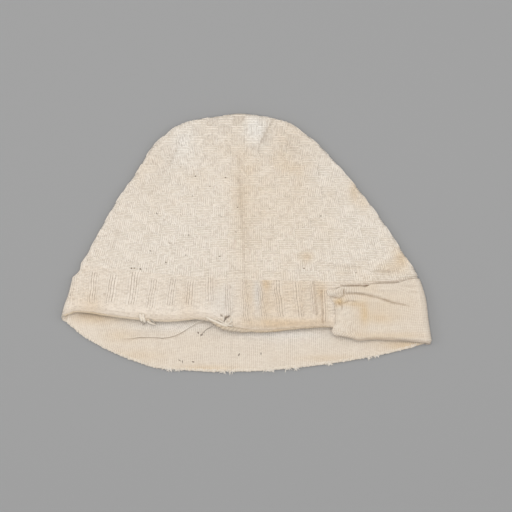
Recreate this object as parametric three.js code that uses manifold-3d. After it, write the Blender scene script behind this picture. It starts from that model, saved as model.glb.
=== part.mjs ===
// A knitted cotton cap, lying flat on its back: a soft bag with a ribbed band, a plain inside facing,
// a rolled front hem that is torn in one place, and one end of the facing turned up over the band.
// Millimetres, +Z up. The opening looks towards -Y and the top of the crown towards +Y.
// The origin is on the surface that the cap lies on, in the middle of its outline.
import * as THREE from 'three';
import { mergeVertices } from 'three/addons/utils/BufferGeometryUtils.js';
import Module from 'manifold-3d';

// Outline of the flattened cap
const capWidth = 275; // from one rim corner to the other
const bodyLength = 162.3; // from the line between the rim corners to the top of the crown
const rimLine = -65.8; // where that line lies in y
const backDrop = 33.5; // the back rim hangs this far below it
const cornerDrop = 10; // the right rim corner lies this far below that line, and the left one above
const frontLift = 7.5; // the front rim's largest wave
const frontLiftSpan = 20; // height over which that wave fades out
const courseSag = 5.5; // dip of the knitted rows in the middle
const topRound = 12; // stretch below the top in which the outline closes

// Height of the cap as it lies
const foldRadius = 3.6; // outside radius of the folded sides
const crownLoft = 17; // rise of the puffed front above the folded sides
const creaseWidth = 4.5;
const creaseHeight = 1;
const creaseEase = 12; // the creases fade in over this height above the band

// Cloth
const knitWall = 1.6; // crown and band
const facingWall = 1;
const cuffWall = 1.3; // the turned-up end, with its hem
const seat = 0.3; // gap between pieces that lie on each other
const cuffSeat = 0.35; // gap under the turned-up end

// Band and its ribs
const bandHeight = 43.7;
const ribPitch = 14.2;
const ribLand = 5.4; // width of the raised knit wales
const ribSide = 0.9; // width of a rib's sloping side
const ribDepth = 0.6; // how deep the purl part is sunk
const borderLeft = 9; // plain border below the ribs, at the left of the front
const borderRight = 5; // and at its right

// Facing, turned-up cuff and hem roll
const facingHeight = 41.5;
const tuckHeight = 1.5; // the loose fold across the back of the facing
const tuckWidth = 5;
const cuffShort = 0.2; // at the right fold, the cuff's top lies this far below the band's
const cuffLift = 2; // its foot lies at most this far above the line between the rim corners
const cuffLeft = 0.49; // its left end, as a share of halfWidth
const cuffWrap = 0.35; // how far round the right fold the cuff goes, 0 at its foot and 1 at its top
const cuffEdgeSwell = 0.5; // thicker hem along the cuff's upper edge
const rollRadius = 1.45;
const tornRollRadius = 1.9;
const rollGap = 1.2; // between the end of the roll and the cuff
const rollSeat = 0.4; // between the roll and the rim's edge

// The hole above the torn stretch of the hem
const holeLength = 4.6;
const holeWidth = 3.2;
const holeHeight = 6.6; // above the rim

const halfWidth = capWidth / 2;
const cuffHeight = bandHeight - cuffShort;
const facingDepth = knitWall + seat;
const liningDepth = facingDepth + facingWall;

// The cap from its rim to its top. Rise is a share of bodyLength, centre and half are shares of
// halfWidth, and the rest are shares of cornerDrop, courseSag and crownLoft.
const courses = [
  { rise: 0, centre: 0, half: 1, tilt: 1, sag: 0, loft: 0.4 },
  { rise: 0.08, centre: 0.003, half: 0.981, tilt: 0.82, sag: 0.35, loft: 0.5 },
  { rise: 0.18, centre: 0.011, half: 0.957, tilt: 0.67, sag: 0.8, loft: 0.66 },
  { rise: 0.27, centre: 0.018, half: 0.92, tilt: 0.52, sag: 1, loft: 0.8 },
  { rise: 0.38, centre: 0.01, half: 0.848, tilt: 0.37, sag: 1, loft: 0.93 },
  { rise: 0.506, centre: -0.004, half: 0.758, tilt: 0.22, sag: 0.55, loft: 1 },
  { rise: 0.617, centre: -0.016, half: 0.671, tilt: 0.15, sag: 0.35, loft: 0.98 },
  { rise: 0.728, centre: -0.027, half: 0.571, tilt: 0.07, sag: 0.2, loft: 0.86 },
  { rise: 0.811, centre: -0.046, half: 0.497, tilt: 0, sag: 0.1, loft: 0.7 },
  { rise: 0.866, centre: -0.054, half: 0.44, tilt: 0, sag: 0, loft: 0.55 },
  { rise: 0.922, centre: -0.058, half: 0.357, tilt: 0, sag: 0, loft: 0.36 },
  { rise: 0.972, centre: -0.046, half: 0.292, tilt: 0, sag: 0, loft: 0.12 },
  { rise: 0.985, centre: -0.024, half: 0.225, tilt: 0, sag: 0, loft: 0.05 },
  { rise: 1, centre: -0.033, half: 0.16, tilt: 0, sag: 0, loft: 0 },
];

// The rim from the left corner to the right one: shares of halfWidth, backDrop and frontLift.
const rimEdge = [
  { across: -1, back: 0.1, front: 0.6 },
  { across: -0.95, back: 0.27, front: 0.8 },
  { across: -0.86, back: 0.5, front: 0.82 },
  { across: -0.66, back: 0.82, front: 0.42 },
  { across: -0.47, back: 0.985, front: 0.36 },
  { across: -0.21, back: 0.98, front: 0.95 },
  { across: -0.12, back: 0.95, front: 0.28 },
  { across: 0.05, back: 0.89, front: 0.02 },
  { across: 0.32, back: 0.72, front: 0.72 },
  { across: 0.46, back: 0.61, front: 1 },
  { across: 0.62, back: 0.46, front: 0.3 },
  { across: 0.84, back: 0.22, front: 0.28 },
  { across: 1, back: 0, front: 0.25 },
];

// Soft swellings of the front: places and spreads are shares of halfWidth and bodyLength, and heights
// are shares of crownLoft.
const swells = [
  { across: -0.72, rise: 0, wide: 0.2, long: 0.12, high: 0.18 },
  { across: 0.62, rise: 0.02, wide: 0.25, long: 0.1, high: -0.07 },
];

// Creases and ridges of the crown, as lines. Their ends are shares of halfWidth, from the middle, and
// of bodyLength, from the line between the rim corners. Wide and high are shares of creaseWidth and
// creaseHeight.
const creases = [
  { name: 'centre crease', x1: -0.043, y1: 0.78, x2: -0.005, y2: 0.36, wide: 1, high: -1.1 },
  { name: 'left top fold', x1: -0.29, y1: 0.95, x2: -0.39, y2: 0.74, wide: 1.1, high: 1 },
  { name: 'left top groove', x1: -0.36, y1: 0.89, x2: -0.45, y2: 0.7, wide: 1, high: -1 },
  { name: 'right top groove', x1: 0.15, y1: 0.97, x2: 0.07, y2: 0.83, wide: 1, high: -1.2 },
  { name: 'right top ridge', x1: 0.09, y1: 0.96, x2: 0.03, y2: 0.8, wide: 1, high: 0.8 },
  { name: 'right top dent', x1: 0.2, y1: 0.92, x2: 0.13, y2: 0.88, wide: 1.6, high: -0.8 },
  { name: 'bulge over the cuff', x1: 0.5, y1: 0.36, x2: 0.82, y2: 0.38, wide: 1.6, high: 1.4 },
];

// The upper edge of the turned-up cuff: shares of halfWidth and cuffHeight.
const cuffTop = [
  { across: 0.48, height: 0.875 },
  { across: 0.67, height: 0.83 },
  { across: 0.81, height: 0.86 },
  { across: 0.9, height: 0.95 },
  { across: 1, height: 1 },
];

// The loose fold in the back of the facing, in the same shares as the creases.
const tuckLine = [
  { x: -0.67, y: -0.05 },
  { x: -0.44, y: -0.04 },
  { x: -0.3, y: -0.01 },
  { x: -0.2, y: 0.03 },
];

// The torn stretch of the front hem, as shares of halfWidth.
const torn = { left: -0.27, right: 0.02, turns: 2.5, lobes: 3, lobeShare: 0.16 };

const up = (height) => height / bodyLength;
const mix = (a, b, t) => a + (b - a) * t;
const clamp = (value, low, high) => Math.min(high, Math.max(low, value));
const smooth = (t) => t * t * (3 - 2 * t);

// Reads one column of a table at any place with a smooth curve that never overshoots its rows.
function readTable(rows, key, column, at) {
  const place = clamp(at, rows[0][key], rows[rows.length - 1][key]);
  const slopeOf = (k) => (rows[k + 1][column] - rows[k][column]) / (rows[k + 1][key] - rows[k][key]);
  const tangent = (k) => {
    if (k === 0) return slopeOf(0);
    if (k === rows.length - 1) return slopeOf(k - 1);
    const [before, after] = [slopeOf(k - 1), slopeOf(k)];
    return before * after <= 0 ? 0 : (2 * before * after) / (before + after);
  };
  const found = rows.findIndex((row) => row[key] > place);
  const k = (found < 0 ? rows.length - 1 : found) - 1;
  const span = rows[k + 1][key] - rows[k][key];
  const t = (place - rows[k][key]) / span;
  const [a, b] = [rows[k][column], rows[k + 1][column]];
  return (
    a * (1 + 2 * t) * (1 - t) ** 2 + b * t * t * (3 - 2 * t) +
    span * (tangent(k) * t * (1 - t) ** 2 - tangent(k + 1) * t * t * (1 - t))
  );
}

// A quarter circle's share: 0 at the end of a rounded stretch, and 1 from its whole length on.
function roundedEnd(distance, stretch) {
  const m = clamp(distance / stretch, 0, 1);
  return Math.sqrt(1 - (1 - m) ** 2);
}

function distanceToLine(x, y, from, to) {
  const run = { x: to.x - from.x, y: to.y - from.y };
  const t = clamp(((x - from.x) * run.x + (y - from.y) * run.y) / (run.x ** 2 + run.y ** 2), 0, 1);
  return Math.hypot(x - from.x - t * run.x, y - from.y - t * run.y);
}

const onPlan = (x, y) => ({ x: x * halfWidth, y: rimLine + y * bodyLength });

function swellHeight(across, rise) {
  return swells.reduce((sum, row) => {
    const off = ((across - row.across) / row.wide) ** 2 + ((rise - row.rise) / row.long) ** 2;
    return sum + crownLoft * row.high * Math.exp(-off);
  }, 0);
}

function creaseLift(x, y, rise) {
  const eased = smooth(clamp((rise * bodyLength - bandHeight) / creaseEase, 0, 1));
  if (eased === 0) return 0;
  const sum = creases.reduce((total, row) => {
    const away = distanceToLine(x, y, onPlan(row.x1, row.y1), onPlan(row.x2, row.y2));
    return total + creaseHeight * row.high * Math.exp(-((away / (creaseWidth * row.wide)) ** 2));
  }, 0);
  return sum * eased;
}

// The puffed front between the folded sides, level where it leaves them.
const arch = (across) => (1 - Math.abs(across) ** 2.6) ** 1.5;

// A point of the cap. Turn runs once round it: 0 to 1 up the right fold, 1 to 2 over the front from
// right to left, 2 to 3 down the left fold, 3 to 4 along the back. Rise is a share of bodyLength, and
// depth is how far the point lies inside the outer face.
function capPoint(turn, rise, depth) {
  const row = (column) => readTable(courses, 'rise', column, rise);
  const toTop = bodyLength * (1 - rise);
  const outerHalf = halfWidth * row('half') * roundedEnd(toTop, topRound);
  const half = outerHalf - depth * Math.min(1, outerHalf / topRound);
  const radius = (foldRadius - depth) * roundedEnd(toTop, foldRadius);
  const corner = Math.min(radius, half);
  const straight = half - corner;
  const onFront = turn >= 1 && turn <= 2;
  const onBack = turn >= 3;
  const across = onFront ? 3 - 2 * turn : onBack ? 2 * turn - 7 : turn < 1 ? 1 : -1;
  const angle = Math.PI * (onFront ? 0.5 : onBack ? -0.5 : turn < 1 ? turn - 0.5 : turn - 1.5);
  const x = across * straight + (onFront || onBack ? 0 : corner * Math.cos(angle));
  const fromCorner = clamp(1 - (rise * bodyLength) / frontLiftSpan, 0, 1) ** 2;
  const frontShift =
    frontLift * readTable(rimEdge, 'across', 'front', across) * fromCorner -
    courseSag * row('sag') * (1 - across ** 2);
  const backShift = -backDrop * readTable(rimEdge, 'across', 'back', across) * (1 - rise);
  const y =
    rimLine + rise * (bodyLength - depth) - cornerDrop * row('tilt') * (x / Math.max(half, 1)) +
    mix(backShift, frontShift, (1 + Math.sin(angle)) / 2);
  const plan = halfWidth * row('centre') + x;
  let z = foldRadius + radius * Math.sin(angle);
  if (onFront) {
    const edge = 1 - across ** 6;
    z += crownLoft * row('loft') * arch(across) + edge * swellHeight(across, Math.max(rise, 0));
    z += edge * creaseLift(plan, y, rise);
  }
  return new THREE.Vector3(plan, y, z);
}

// A closed body from a profile carried along the turns. The profile's points are { rise, depth, dz },
// out along the outer face towards the top and back along the inner one.
function sweep(turns, profileAt, closed) {
  const rings = turns.map((turn) =>
    profileAt(turn).map(({ rise, depth, dz = 0 }) => {
      const point = capPoint(turn, rise, depth);
      point.z += dz;
      return point;
    }),
  );
  const corners = [];
  const face = (a, b, c) => {
    if (a.distanceTo(b) > 1e-4 && b.distanceTo(c) > 1e-4 && c.distanceTo(a) > 1e-4) corners.push(a, b, c);
  };
  const steps = closed ? rings.length : rings.length - 1;
  for (let j = 0; j < steps; j++) {
    const [here, next] = [rings[j], rings[(j + 1) % rings.length]];
    for (let i = 0; i < here.length; i++) {
      const k = (i + 1) % here.length;
      face(here[i], here[k], next[i]);
      face(here[k], next[k], next[i]);
    }
  }
  if (!closed) {
    capEnd(turns[0], rings[0], -1);
    capEnd(turns[turns.length - 1], rings[rings.length - 1], 1);
  }
  function capEnd(turn, ring, way) {
    const outward = capPoint(turn, 0.1, 0).sub(capPoint(turn, 0.1, 1));
    const flat = ring.map((point) => new THREE.Vector2(point.y, point.dot(outward)));
    const winding = way * THREE.ShapeUtils.area(flat);
    for (const [a, b, c] of THREE.ShapeUtils.triangulateShape(flat, [])) {
      const area = THREE.ShapeUtils.area([flat[a], flat[b], flat[c]]);
      if (area * winding > 0) face(ring[a], ring[b], ring[c]);
      else face(ring[a], ring[c], ring[b]);
    }
  }
  return new THREE.BufferGeometry().setFromPoints(corners);
}

function steps(from, to, count) {
  return Array.from({ length: count + 1 }, (_, k) => mix(from, to, k / count));
}

// The turns of a whole loop, with a few places on each fold.
function loopTurns(onFront, onBack, onFold = 4) {
  const all = [...steps(0, 1, onFold), ...steps(1, 2, onFront), ...steps(2, 3, onFold), ...steps(3, 4, onBack)];
  return tidyTurns(all);
}

function tidyTurns(turns) {
  const sorted = turns.map((turn) => ((turn % 4) + 4) % 4).sort((a, b) => a - b);
  return sorted.filter((turn, k) => k === 0 || turn - sorted[k - 1] > 1e-3);
}

// Distance round the middle of the band, both ways between turns and millimetres.
const girth = (() => {
  const places = steps(0, 4, 480);
  const points = places.map((turn) => capPoint(turn % 4, up(bandHeight / 2), 0));
  const along = [0];
  for (let k = 1; k < points.length; k++) along.push(along[k - 1] + points[k].distanceTo(points[k - 1]));
  const read = (from, to, value) => {
    const found = from.findIndex((v) => v >= value);
    const k = clamp(found < 0 ? from.length - 1 : found, 1, from.length - 1);
    return mix(to[k - 1], to[k], (value - from[k - 1]) / (from[k] - from[k - 1]));
  };
  return {
    length: along[along.length - 1],
    at: (turn) => read(places, along, turn),
    turnAt: (distance) => read(along, places, distance),
  };
})();

const frontMiddle = 1.5;
const ribCount = Math.round(girth.length / ribPitch);
const ribStep = girth.length / ribCount;

// How deep the band is sunk at a turn: nothing on a rib, ribDepth between two ribs.
function ribSink(turn) {
  const from = (((girth.at(turn) - girth.at(frontMiddle)) / ribStep) % 1 + 1) % 1;
  const offRib = Math.min(from, 1 - from) * ribStep - ribLand / 2;
  return ribDepth * clamp(offRib / ribSide, 0, 1);
}

function ribTurns() {
  const half = ribLand / 2;
  const marks = [-half - ribSide, -half, half, half + ribSide];
  const all = loopTurns(1, 1);
  for (let k = 0; k < ribCount; k++) {
    for (const mark of marks) {
      const distance = girth.at(frontMiddle) + k * ribStep + mark;
      all.push(girth.turnAt(((distance % girth.length) + girth.length) % girth.length));
    }
  }
  return tidyTurns(all);
}

// Heights of the crown's rings, closer together towards the top.
function crownRises(below, above) {
  const foot = up(bandHeight + seat);
  const shoulder = 1 - up(topRound);
  const closing = steps(Math.PI / 2, 0, above).map((a) => 1 - up(topRound * (1 - Math.cos(a))));
  return [...steps(foot, shoulder, below), ...closing.slice(1)];
}

function makeCrown() {
  const outer = crownRises(13, 6).map((rise) => ({ rise, depth: 0 }));
  const inner = crownRises(8, 5).reverse().map((rise) => ({ rise, depth: knitWall }));
  return sweep(loopTurns(42, 10), () => [...outer, ...inner], true);
}

// Shares of the band's height at which the band and the facing have their rows, so that they follow
// the same line where they lie on each other.
const bandRows = [0, 0.25, 0.5, 0.75];

function makeBand() {
  const profile = (turn) => {
    const across = turn >= 1 && turn <= 2 ? 3 - 2 * turn : 0;
    const border = mix(borderLeft, borderRight, (across + 1) / 2);
    const sunk = ribSink(turn);
    const outer = [
      { rise: 0, depth: 0 },
      { rise: up(border), depth: 0 },
      { rise: up(border + ribSide), depth: sunk },
      ...bandRows.slice(1).map((share) => ({ rise: up(bandHeight * share), depth: sunk })),
      { rise: up(bandHeight - ribSide), depth: sunk },
      { rise: up(bandHeight), depth: 0 },
    ];
    const inner = [...bandRows, 1].map((share) => ({ rise: up(bandHeight * share), depth: knitWall }));
    return [...outer, ...inner.reverse()];
  };
  return sweep(ribTurns(), profile, true);
}

// A plug where the hole above the torn hem goes through the front of the band.
function holePlug() {
  const middle = (torn.left + torn.right) / 2;
  const place = capPoint((3 - middle) / 2, up(holeHeight), knitWall / 2);
  const plug = new THREE.CylinderGeometry(0.5, 0.5, knitWall * 3, 12);
  plug.rotateX(Math.PI / 2);
  plug.scale(holeLength, holeWidth, 1);
  plug.rotateZ(Math.PI / 8);
  plug.translate(place.x, place.y, place.z);
  return plug;
}

function tuckRise(x, y) {
  const away = tuckLine.slice(1).map((to, k) => {
    const [from, end] = [onPlan(tuckLine[k].x, tuckLine[k].y), onPlan(to.x, to.y)];
    return distanceToLine(x, y, from, end);
  });
  return tuckHeight * Math.exp(-((Math.min(...away) / tuckWidth) ** 2));
}

function makeFacing() {
  const profile = (turn) => {
    const heights = [...bandRows.map((share) => share * bandHeight), facingHeight];
    const outer = heights.map((height) => ({ rise: up(height), depth: facingDepth }));
    const inner = steps(1, 0, 7).map((share) => {
      const rise = up(facingHeight * share);
      const point = capPoint(turn, rise, liningDepth);
      return { rise, depth: liningDepth, dz: turn >= 3 ? tuckRise(point.x, point.y) : 0 };
    });
    return [...outer, ...inner];
  };
  return sweep(loopTurns(36, 22), profile, true);
}

// The end of the facing, turned up over the right of the band and round the right fold. Its lip
// covers the edges of the band and the facing, and runs straight where the front rim is lifted.
function makeCuff() {
  const turns = [...steps(cuffWrap, 1, 6), ...steps(1, (3 - cuffLeft) / 2, 10).slice(1)];
  const profile = (turn) => {
    const across = turn < 1 ? 1 : 3 - 2 * turn;
    const height = cuffHeight * readTable(cuffTop, 'across', 'height', across);
    const lifted = frontLift * readTable(rimEdge, 'across', 'front', across) - cuffLift;
    const foot = -cuffSeat - Math.max(0, lifted);
    const face = -cuffSeat - cuffWall;
    const at = (share) => up(mix(foot, height, share));
    const outer = [
      { rise: up(foot - cuffWall), depth: liningDepth },
      { rise: up(foot - cuffWall), depth: -cuffSeat },
      { rise: up(foot - cuffWall * 0.6), depth: face + cuffWall * 0.2 },
      { rise: up(foot + cuffWall), depth: face },
      ...[0.2, 0.4, 0.6, 0.75].map((share) => ({ rise: at(share), depth: face })),
      { rise: up(height - 3 * cuffWall), depth: face - cuffEdgeSwell },
      { rise: up(height - cuffWall), depth: face - cuffEdgeSwell },
      { rise: up(height), depth: face + cuffWall * 0.4 },
    ];
    const inner = steps(1, 0, 7).map((share) => ({ rise: at(share), depth: -cuffSeat }));
    return [...outer, ...inner, { rise: up(foot), depth: liningDepth }];
  };
  return sweep(turns, profile, false);
}

// The rolled hem of the front rim, thicker and twisted where it is torn loose.
function makeHemRoll() {
  const rightEnd = cuffLeft - rollGap / halfWidth;
  const turns = [...steps((3 - rightEnd) / 2, 2, 44), ...steps(2, 2.2, 2).slice(1)];
  const profile = (turn) => {
    const across = Math.max(3 - 2 * turn, -1);
    const share = clamp((across - torn.left) / (torn.right - torn.left), 0, 1);
    const loose = Math.sin(Math.PI * share) ** 0.5;
    const place = turns.indexOf(turn) / (turns.length - 1);
    const taper = mix(0.45, 1, roundedEnd(Math.min(place, 1 - place), 0.06));
    const radius = mix(rollRadius, tornRollRadius, loose) * taper;
    return steps(0, 1, 10).slice(1).map((part) => {
      const angle = 2 * Math.PI * part;
      const lobe = 1 + torn.lobeShare * loose * Math.cos(torn.lobes * (angle - 2 * Math.PI * torn.turns * share));
      return {
        rise: up(-rollSeat - radius * (1 + torn.lobeShare * loose) - radius * lobe * Math.cos(angle)),
        depth: liningDepth / 2 - radius * lobe * Math.sin(angle),
      };
    });
  };
  return sweep(turns, profile, false);
}

// Cutting one closed body from another
const wasm = await Module();
wasm.setup();

function solidOf(geometry) {
  const bare = geometry.clone();
  bare.deleteAttribute('normal');
  bare.deleteAttribute('uv');
  const merged = mergeVertices(bare, 1e-4);
  return new wasm.Manifold(
    new wasm.Mesh({
      numProp: 3,
      vertProperties: merged.attributes.position.array,
      triVerts: new Uint32Array(merged.index.array),
    }),
  );
}

function geometryOf(solid) {
  const { vertProperties, triVerts } = solid.getMesh();
  return new THREE.BufferGeometry()
    .setAttribute('position', new THREE.BufferAttribute(new Float32Array(vertProperties), 3))
    .setIndex(new THREE.BufferAttribute(new Uint32Array(triVerts), 1))
    .toNonIndexed();
}

// Colours and finish of the cloth
const cloth = (color) => new THREE.MeshStandardMaterial({ color, roughness: 0.92, metalness: 0 });
const cream = cloth(0xe0d5c8);
const warmCream = cloth(0xdcccb8);
const facingCream = cloth(0xdccdb9);
const yellowedCream = cloth(0xdccbb4);

function part(name, geometry, material) {
  geometry.computeVertexNormals();
  const mesh = new THREE.Mesh(geometry, material);
  mesh.name = name;
  return mesh;
}

const cap = new THREE.Group();
cap.add(
  part('crown', makeCrown(), cream),
  part('rib_band', geometryOf(solidOf(makeBand()).subtract(solidOf(holePlug()))), warmCream),
  part('facing', makeFacing(), facingCream),
  part('turned_cuff', makeCuff(), yellowedCream),
  part('hem_roll', makeHemRoll(), warmCream),
);

export default cap;
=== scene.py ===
"""Look of a hand-knitted cotton cap that lies flat on its back.

The cap is a soft bag of basket knit with a ribbed band, a plain inside facing whose end is turned
up over the band at one corner, and a rolled hem that is torn and twisted in one stretch. All sizes
are in metres, +X runs along the rim to the turned corner, +Y to the top of the crown and +Z up.
"""

import logging
import math
from dataclasses import dataclass, field
from enum import Enum
from typing import Callable, Sequence

import bmesh
import bpy
import numpy as np
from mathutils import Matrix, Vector


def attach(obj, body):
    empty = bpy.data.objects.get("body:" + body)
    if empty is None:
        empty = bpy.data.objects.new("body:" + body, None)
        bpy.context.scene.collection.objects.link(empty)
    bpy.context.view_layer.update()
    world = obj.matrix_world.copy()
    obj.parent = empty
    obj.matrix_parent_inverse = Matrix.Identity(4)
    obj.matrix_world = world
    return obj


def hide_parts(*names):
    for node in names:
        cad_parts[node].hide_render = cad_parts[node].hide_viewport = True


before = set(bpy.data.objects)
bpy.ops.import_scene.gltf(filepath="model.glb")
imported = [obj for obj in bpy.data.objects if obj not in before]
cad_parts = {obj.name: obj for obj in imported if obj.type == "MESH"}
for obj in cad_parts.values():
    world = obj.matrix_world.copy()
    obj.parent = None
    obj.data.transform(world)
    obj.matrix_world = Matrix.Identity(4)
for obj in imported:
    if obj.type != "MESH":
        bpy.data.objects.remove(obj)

log = logging.getLogger("cap")
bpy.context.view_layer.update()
ScreenColour = tuple[int, int, int]
# Between these heights the back layer of the cap ends and the front one begins.
FRONT_FROM, FRONT_ABOVE = 0.0034, 0.0042
# The stretch in which the crown's relief and the band's fade out where they meet.
JOIN_EASE = 0.0025
# How far the stitches' middles lie above the ground.
STITCH_LIFT = 0.00005
# How much the dirt of single stitches varies in the fine plain knit.
FINE_TONE = 0.08
# How dark the painted shade in the openings is.
HOLE_SHADE = 0.75
# The darkening along the lines shows narrower than their relief by these factors; along the cuff's
# folds and upper edge it is painted shade.
CROWN_LINES, CUFF_LINES = 1.4, 1.5


class Course:
    """A smooth curve through the rows of a table that never overshoots them."""

    def __init__(self, places: Sequence[float], values: Sequence[float]) -> None:
        """Works out the slope at each row.

        Args:
            places: where the rows lie, rising.
            values: the curve's value at each row.
        """
        self.places = np.asarray(places, float)
        self.values = np.asarray(values, float)
        slopes = np.diff(self.values) / np.diff(self.places)
        before, after = slopes[:-1], slopes[1:]
        same_way = before * after > 0
        total = np.where(same_way, before + after, 1.0)
        middle = np.where(same_way, 2 * before * after / total, 0.0)
        self.tangents = np.concatenate([slopes[:1], middle, slopes[-1:]])

    def __call__(self, at: np.ndarray) -> np.ndarray:
        """Reads the curve.

        Args:
            at: places to read, held inside the table.

        Returns:
            The curve's values there.
        """
        place = np.clip(at, self.places[0], self.places[-1])
        k = np.clip(np.searchsorted(self.places, place, side="right") - 1, 0, len(self.places) - 2)
        span = self.places[k + 1] - self.places[k]
        t = (place - self.places[k]) / span
        ends = self.values[k] * (1 + 2 * t) * (1 - t) ** 2 + self.values[k + 1] * t * t * (3 - 2 * t)
        bend = self.tangents[k] * t * (1 - t) ** 2 - self.tangents[k + 1] * t * t * (1 - t)
        return ends + span * bend


def curves(table: Sequence[Sequence[float]]) -> list[Course]:
    """Curves through a table's columns, each against the first one."""
    columns = np.array(table).T
    return [Course(columns[0], column) for column in columns[1:]]


def smooth_step(value: np.ndarray, low: float, high: float) -> np.ndarray:
    """0 below low, 1 above high, and a smooth rise between."""
    t = np.clip((value - low) / (high - low), 0, 1)
    return t * t * (3 - 2 * t)


def lengths_along(line: np.ndarray) -> np.ndarray:
    """How far along a line each of its points lies."""
    return np.concatenate([[0], np.cumsum(np.linalg.norm(np.diff(line, axis=0), axis=-1))])


def rows_of(count: int, *columns: object) -> np.ndarray:
    """Columns side by side, each an array or one value for all the rows."""
    return np.stack([np.broadcast_to(column, count) for column in columns], -1)


def show(name: str, data: bpy.types.ID) -> bpy.types.Object:
    """Puts a new object in the scene."""
    item = bpy.data.objects.new(name, data)
    bpy.context.collection.objects.link(item)
    return item


def set_wear_and_shading(mesh: bpy.types.Mesh, wear: np.ndarray) -> None:
    """Stores soil, bleach and darkening at each point of a mesh; the bleach also holds painted light
    and the darkening painted shade.
    """
    layer = mesh.attributes.new("wear", "FLOAT_COLOR", "POINT")
    colours = np.concatenate([wear, np.ones((len(wear), 1))], 1)
    layer.data.foreach_set("color", colours.astype(np.float32).ravel())


class SoftWaves:
    """Gentle, repeatable unevenness: a sum of seeded plane waves, from -1 to 1."""

    def __init__(self, length: float, seed: int, count: int = 9) -> None:
        """Draws the waves.

        Args:
            length: middle wavelength.
            seed: fixes the draw.
            count: number of waves.
        """
        draw = np.random.default_rng(seed)
        angles = draw.uniform(0, 2 * math.pi, count)
        lengths = length * draw.uniform(0.6, 1.7, count)
        self.waves = np.stack([np.cos(angles) / lengths, np.sin(angles) / lengths]) * 2 * math.pi
        self.phases = draw.uniform(0, 2 * math.pi, count)

    def __call__(self, x: np.ndarray, y: np.ndarray) -> np.ndarray:
        """The height of the waves at each place."""
        angle = x[..., None] * self.waves[0] + y[..., None] * self.waves[1] + self.phases
        return np.sin(angle).sum(-1) / math.sqrt(2 * len(self.phases))


@dataclass(frozen=True)
class Crease:
    """A fold, ridge or groove along a line in plan."""

    start: tuple[float, float]
    end: tuple[float, float]
    width: float
    height: float
    # How much darker the line is drawn. On the cuff's folds, along the cuff's upper edge and at the
    # tear this is painted shade.
    dirt: float = 0.0

    def amount(self, x: np.ndarray, y: np.ndarray, sharpness: float = 1.0) -> np.ndarray:
        """How near each place is to the line.

        Args:
            x: places in plan.
            y: places in plan.
            sharpness: above 1 for a narrower line.

        Returns:
            1 on the line, and 0 well away from it.
        """
        along = np.subtract(self.end, self.start)
        t = ((x - self.start[0]) * along[0] + (y - self.start[1]) * along[1]) / (along @ along)
        t = np.clip(t, 0, 1)
        away = np.hypot(x - self.start[0] - t * along[0], y - self.start[1] - t * along[1])
        fade = np.clip(np.sin(np.pi * np.clip(t, 0.06, 0.94)), 0, 1) ** 0.5
        return np.exp(-((away * sharpness / self.width) ** 2)) * fade


class Tint(Enum):
    """What a stain does to the cloth. The darkening tint also carries painted shade, and the bleaching
    tint painted light.
    """

    SOIL = 0
    BLEACH = 1
    DIRT = 2


@dataclass(frozen=True)
class Stain:
    """A soft patch of another tint."""

    tint: Tint
    x: float
    y: float
    wide: float
    long: float
    strength: float

    def amount(self, x: np.ndarray, y: np.ndarray) -> np.ndarray:
        """The patch's strength at each place."""
        across, along = (x - self.x) / self.wide, (y - self.y) / self.long
        return self.strength * np.exp(-(across**2) - along**2)


def creases(*rows: tuple[float, ...]) -> tuple[Crease, ...]:
    """Creases, each given as the two ends in plan, width, height and, where its line is drawn darker,
    how much darker.
    """
    return tuple(Crease(row[:2], row[2:4], *row[4:]) for row in rows)


def spots(tint: Tint, *rows: tuple[float, float, float, float, float]) -> tuple[Stain, ...]:
    """Stains of one tint, each given as x, y, wide, long and strength."""
    return tuple(Stain(tint, *row) for row in rows)


# The cap from its rim to its top: rise, centre, half, tilt, sag and loft. Centre and half are shares
# of half the cap's width, and the last three of the rim's tilt, the courses' sag and the crown's loft.
COURSES = (
    (0.000, 0.000, 1.000, 1.00, 0.00, 0.40),
    (0.080, 0.003, 0.981, 0.82, 0.35, 0.50),
    (0.180, 0.011, 0.957, 0.67, 0.80, 0.66),
    (0.270, 0.018, 0.920, 0.52, 1.00, 0.80),
    (0.380, 0.010, 0.848, 0.37, 1.00, 0.93),
    (0.506, -0.004, 0.758, 0.22, 0.55, 1.00),
    (0.617, -0.016, 0.671, 0.15, 0.35, 0.98),
    (0.728, -0.027, 0.571, 0.07, 0.20, 0.86),
    (0.811, -0.046, 0.497, 0.00, 0.10, 0.70),
    (0.866, -0.054, 0.440, 0.00, 0.00, 0.55),
    (0.922, -0.058, 0.357, 0.00, 0.00, 0.36),
    (0.972, -0.046, 0.292, 0.00, 0.00, 0.12),
    (0.985, -0.024, 0.225, 0.00, 0.00, 0.05),
    (1.000, -0.033, 0.160, 0.00, 0.00, 0.00),
)

# The rim from the left corner to the right one: across, and shares of the back's drop and of the
# front's lift.
RIM_EDGE = (
    (-1.00, 0.100, 0.20),
    (-0.97, 0.200, 0.47),
    (-0.95, 0.270, 0.62),
    (-0.91, 0.385, 0.70),
    (-0.86, 0.500, 0.66),
    (-0.80, 0.610, 0.57),
    (-0.66, 0.820, 0.42),
    (-0.47, 0.985, 0.36),
    (-0.21, 0.980, 0.95),
    (-0.12, 0.950, 0.28),
    (0.05, 0.890, 0.02),
    (0.32, 0.720, 0.72),
    (0.46, 0.610, 1.00),
    (0.62, 0.460, 0.30),
    (0.84, 0.220, 0.28),
    (1.00, 0.000, 0.25),
)

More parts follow.
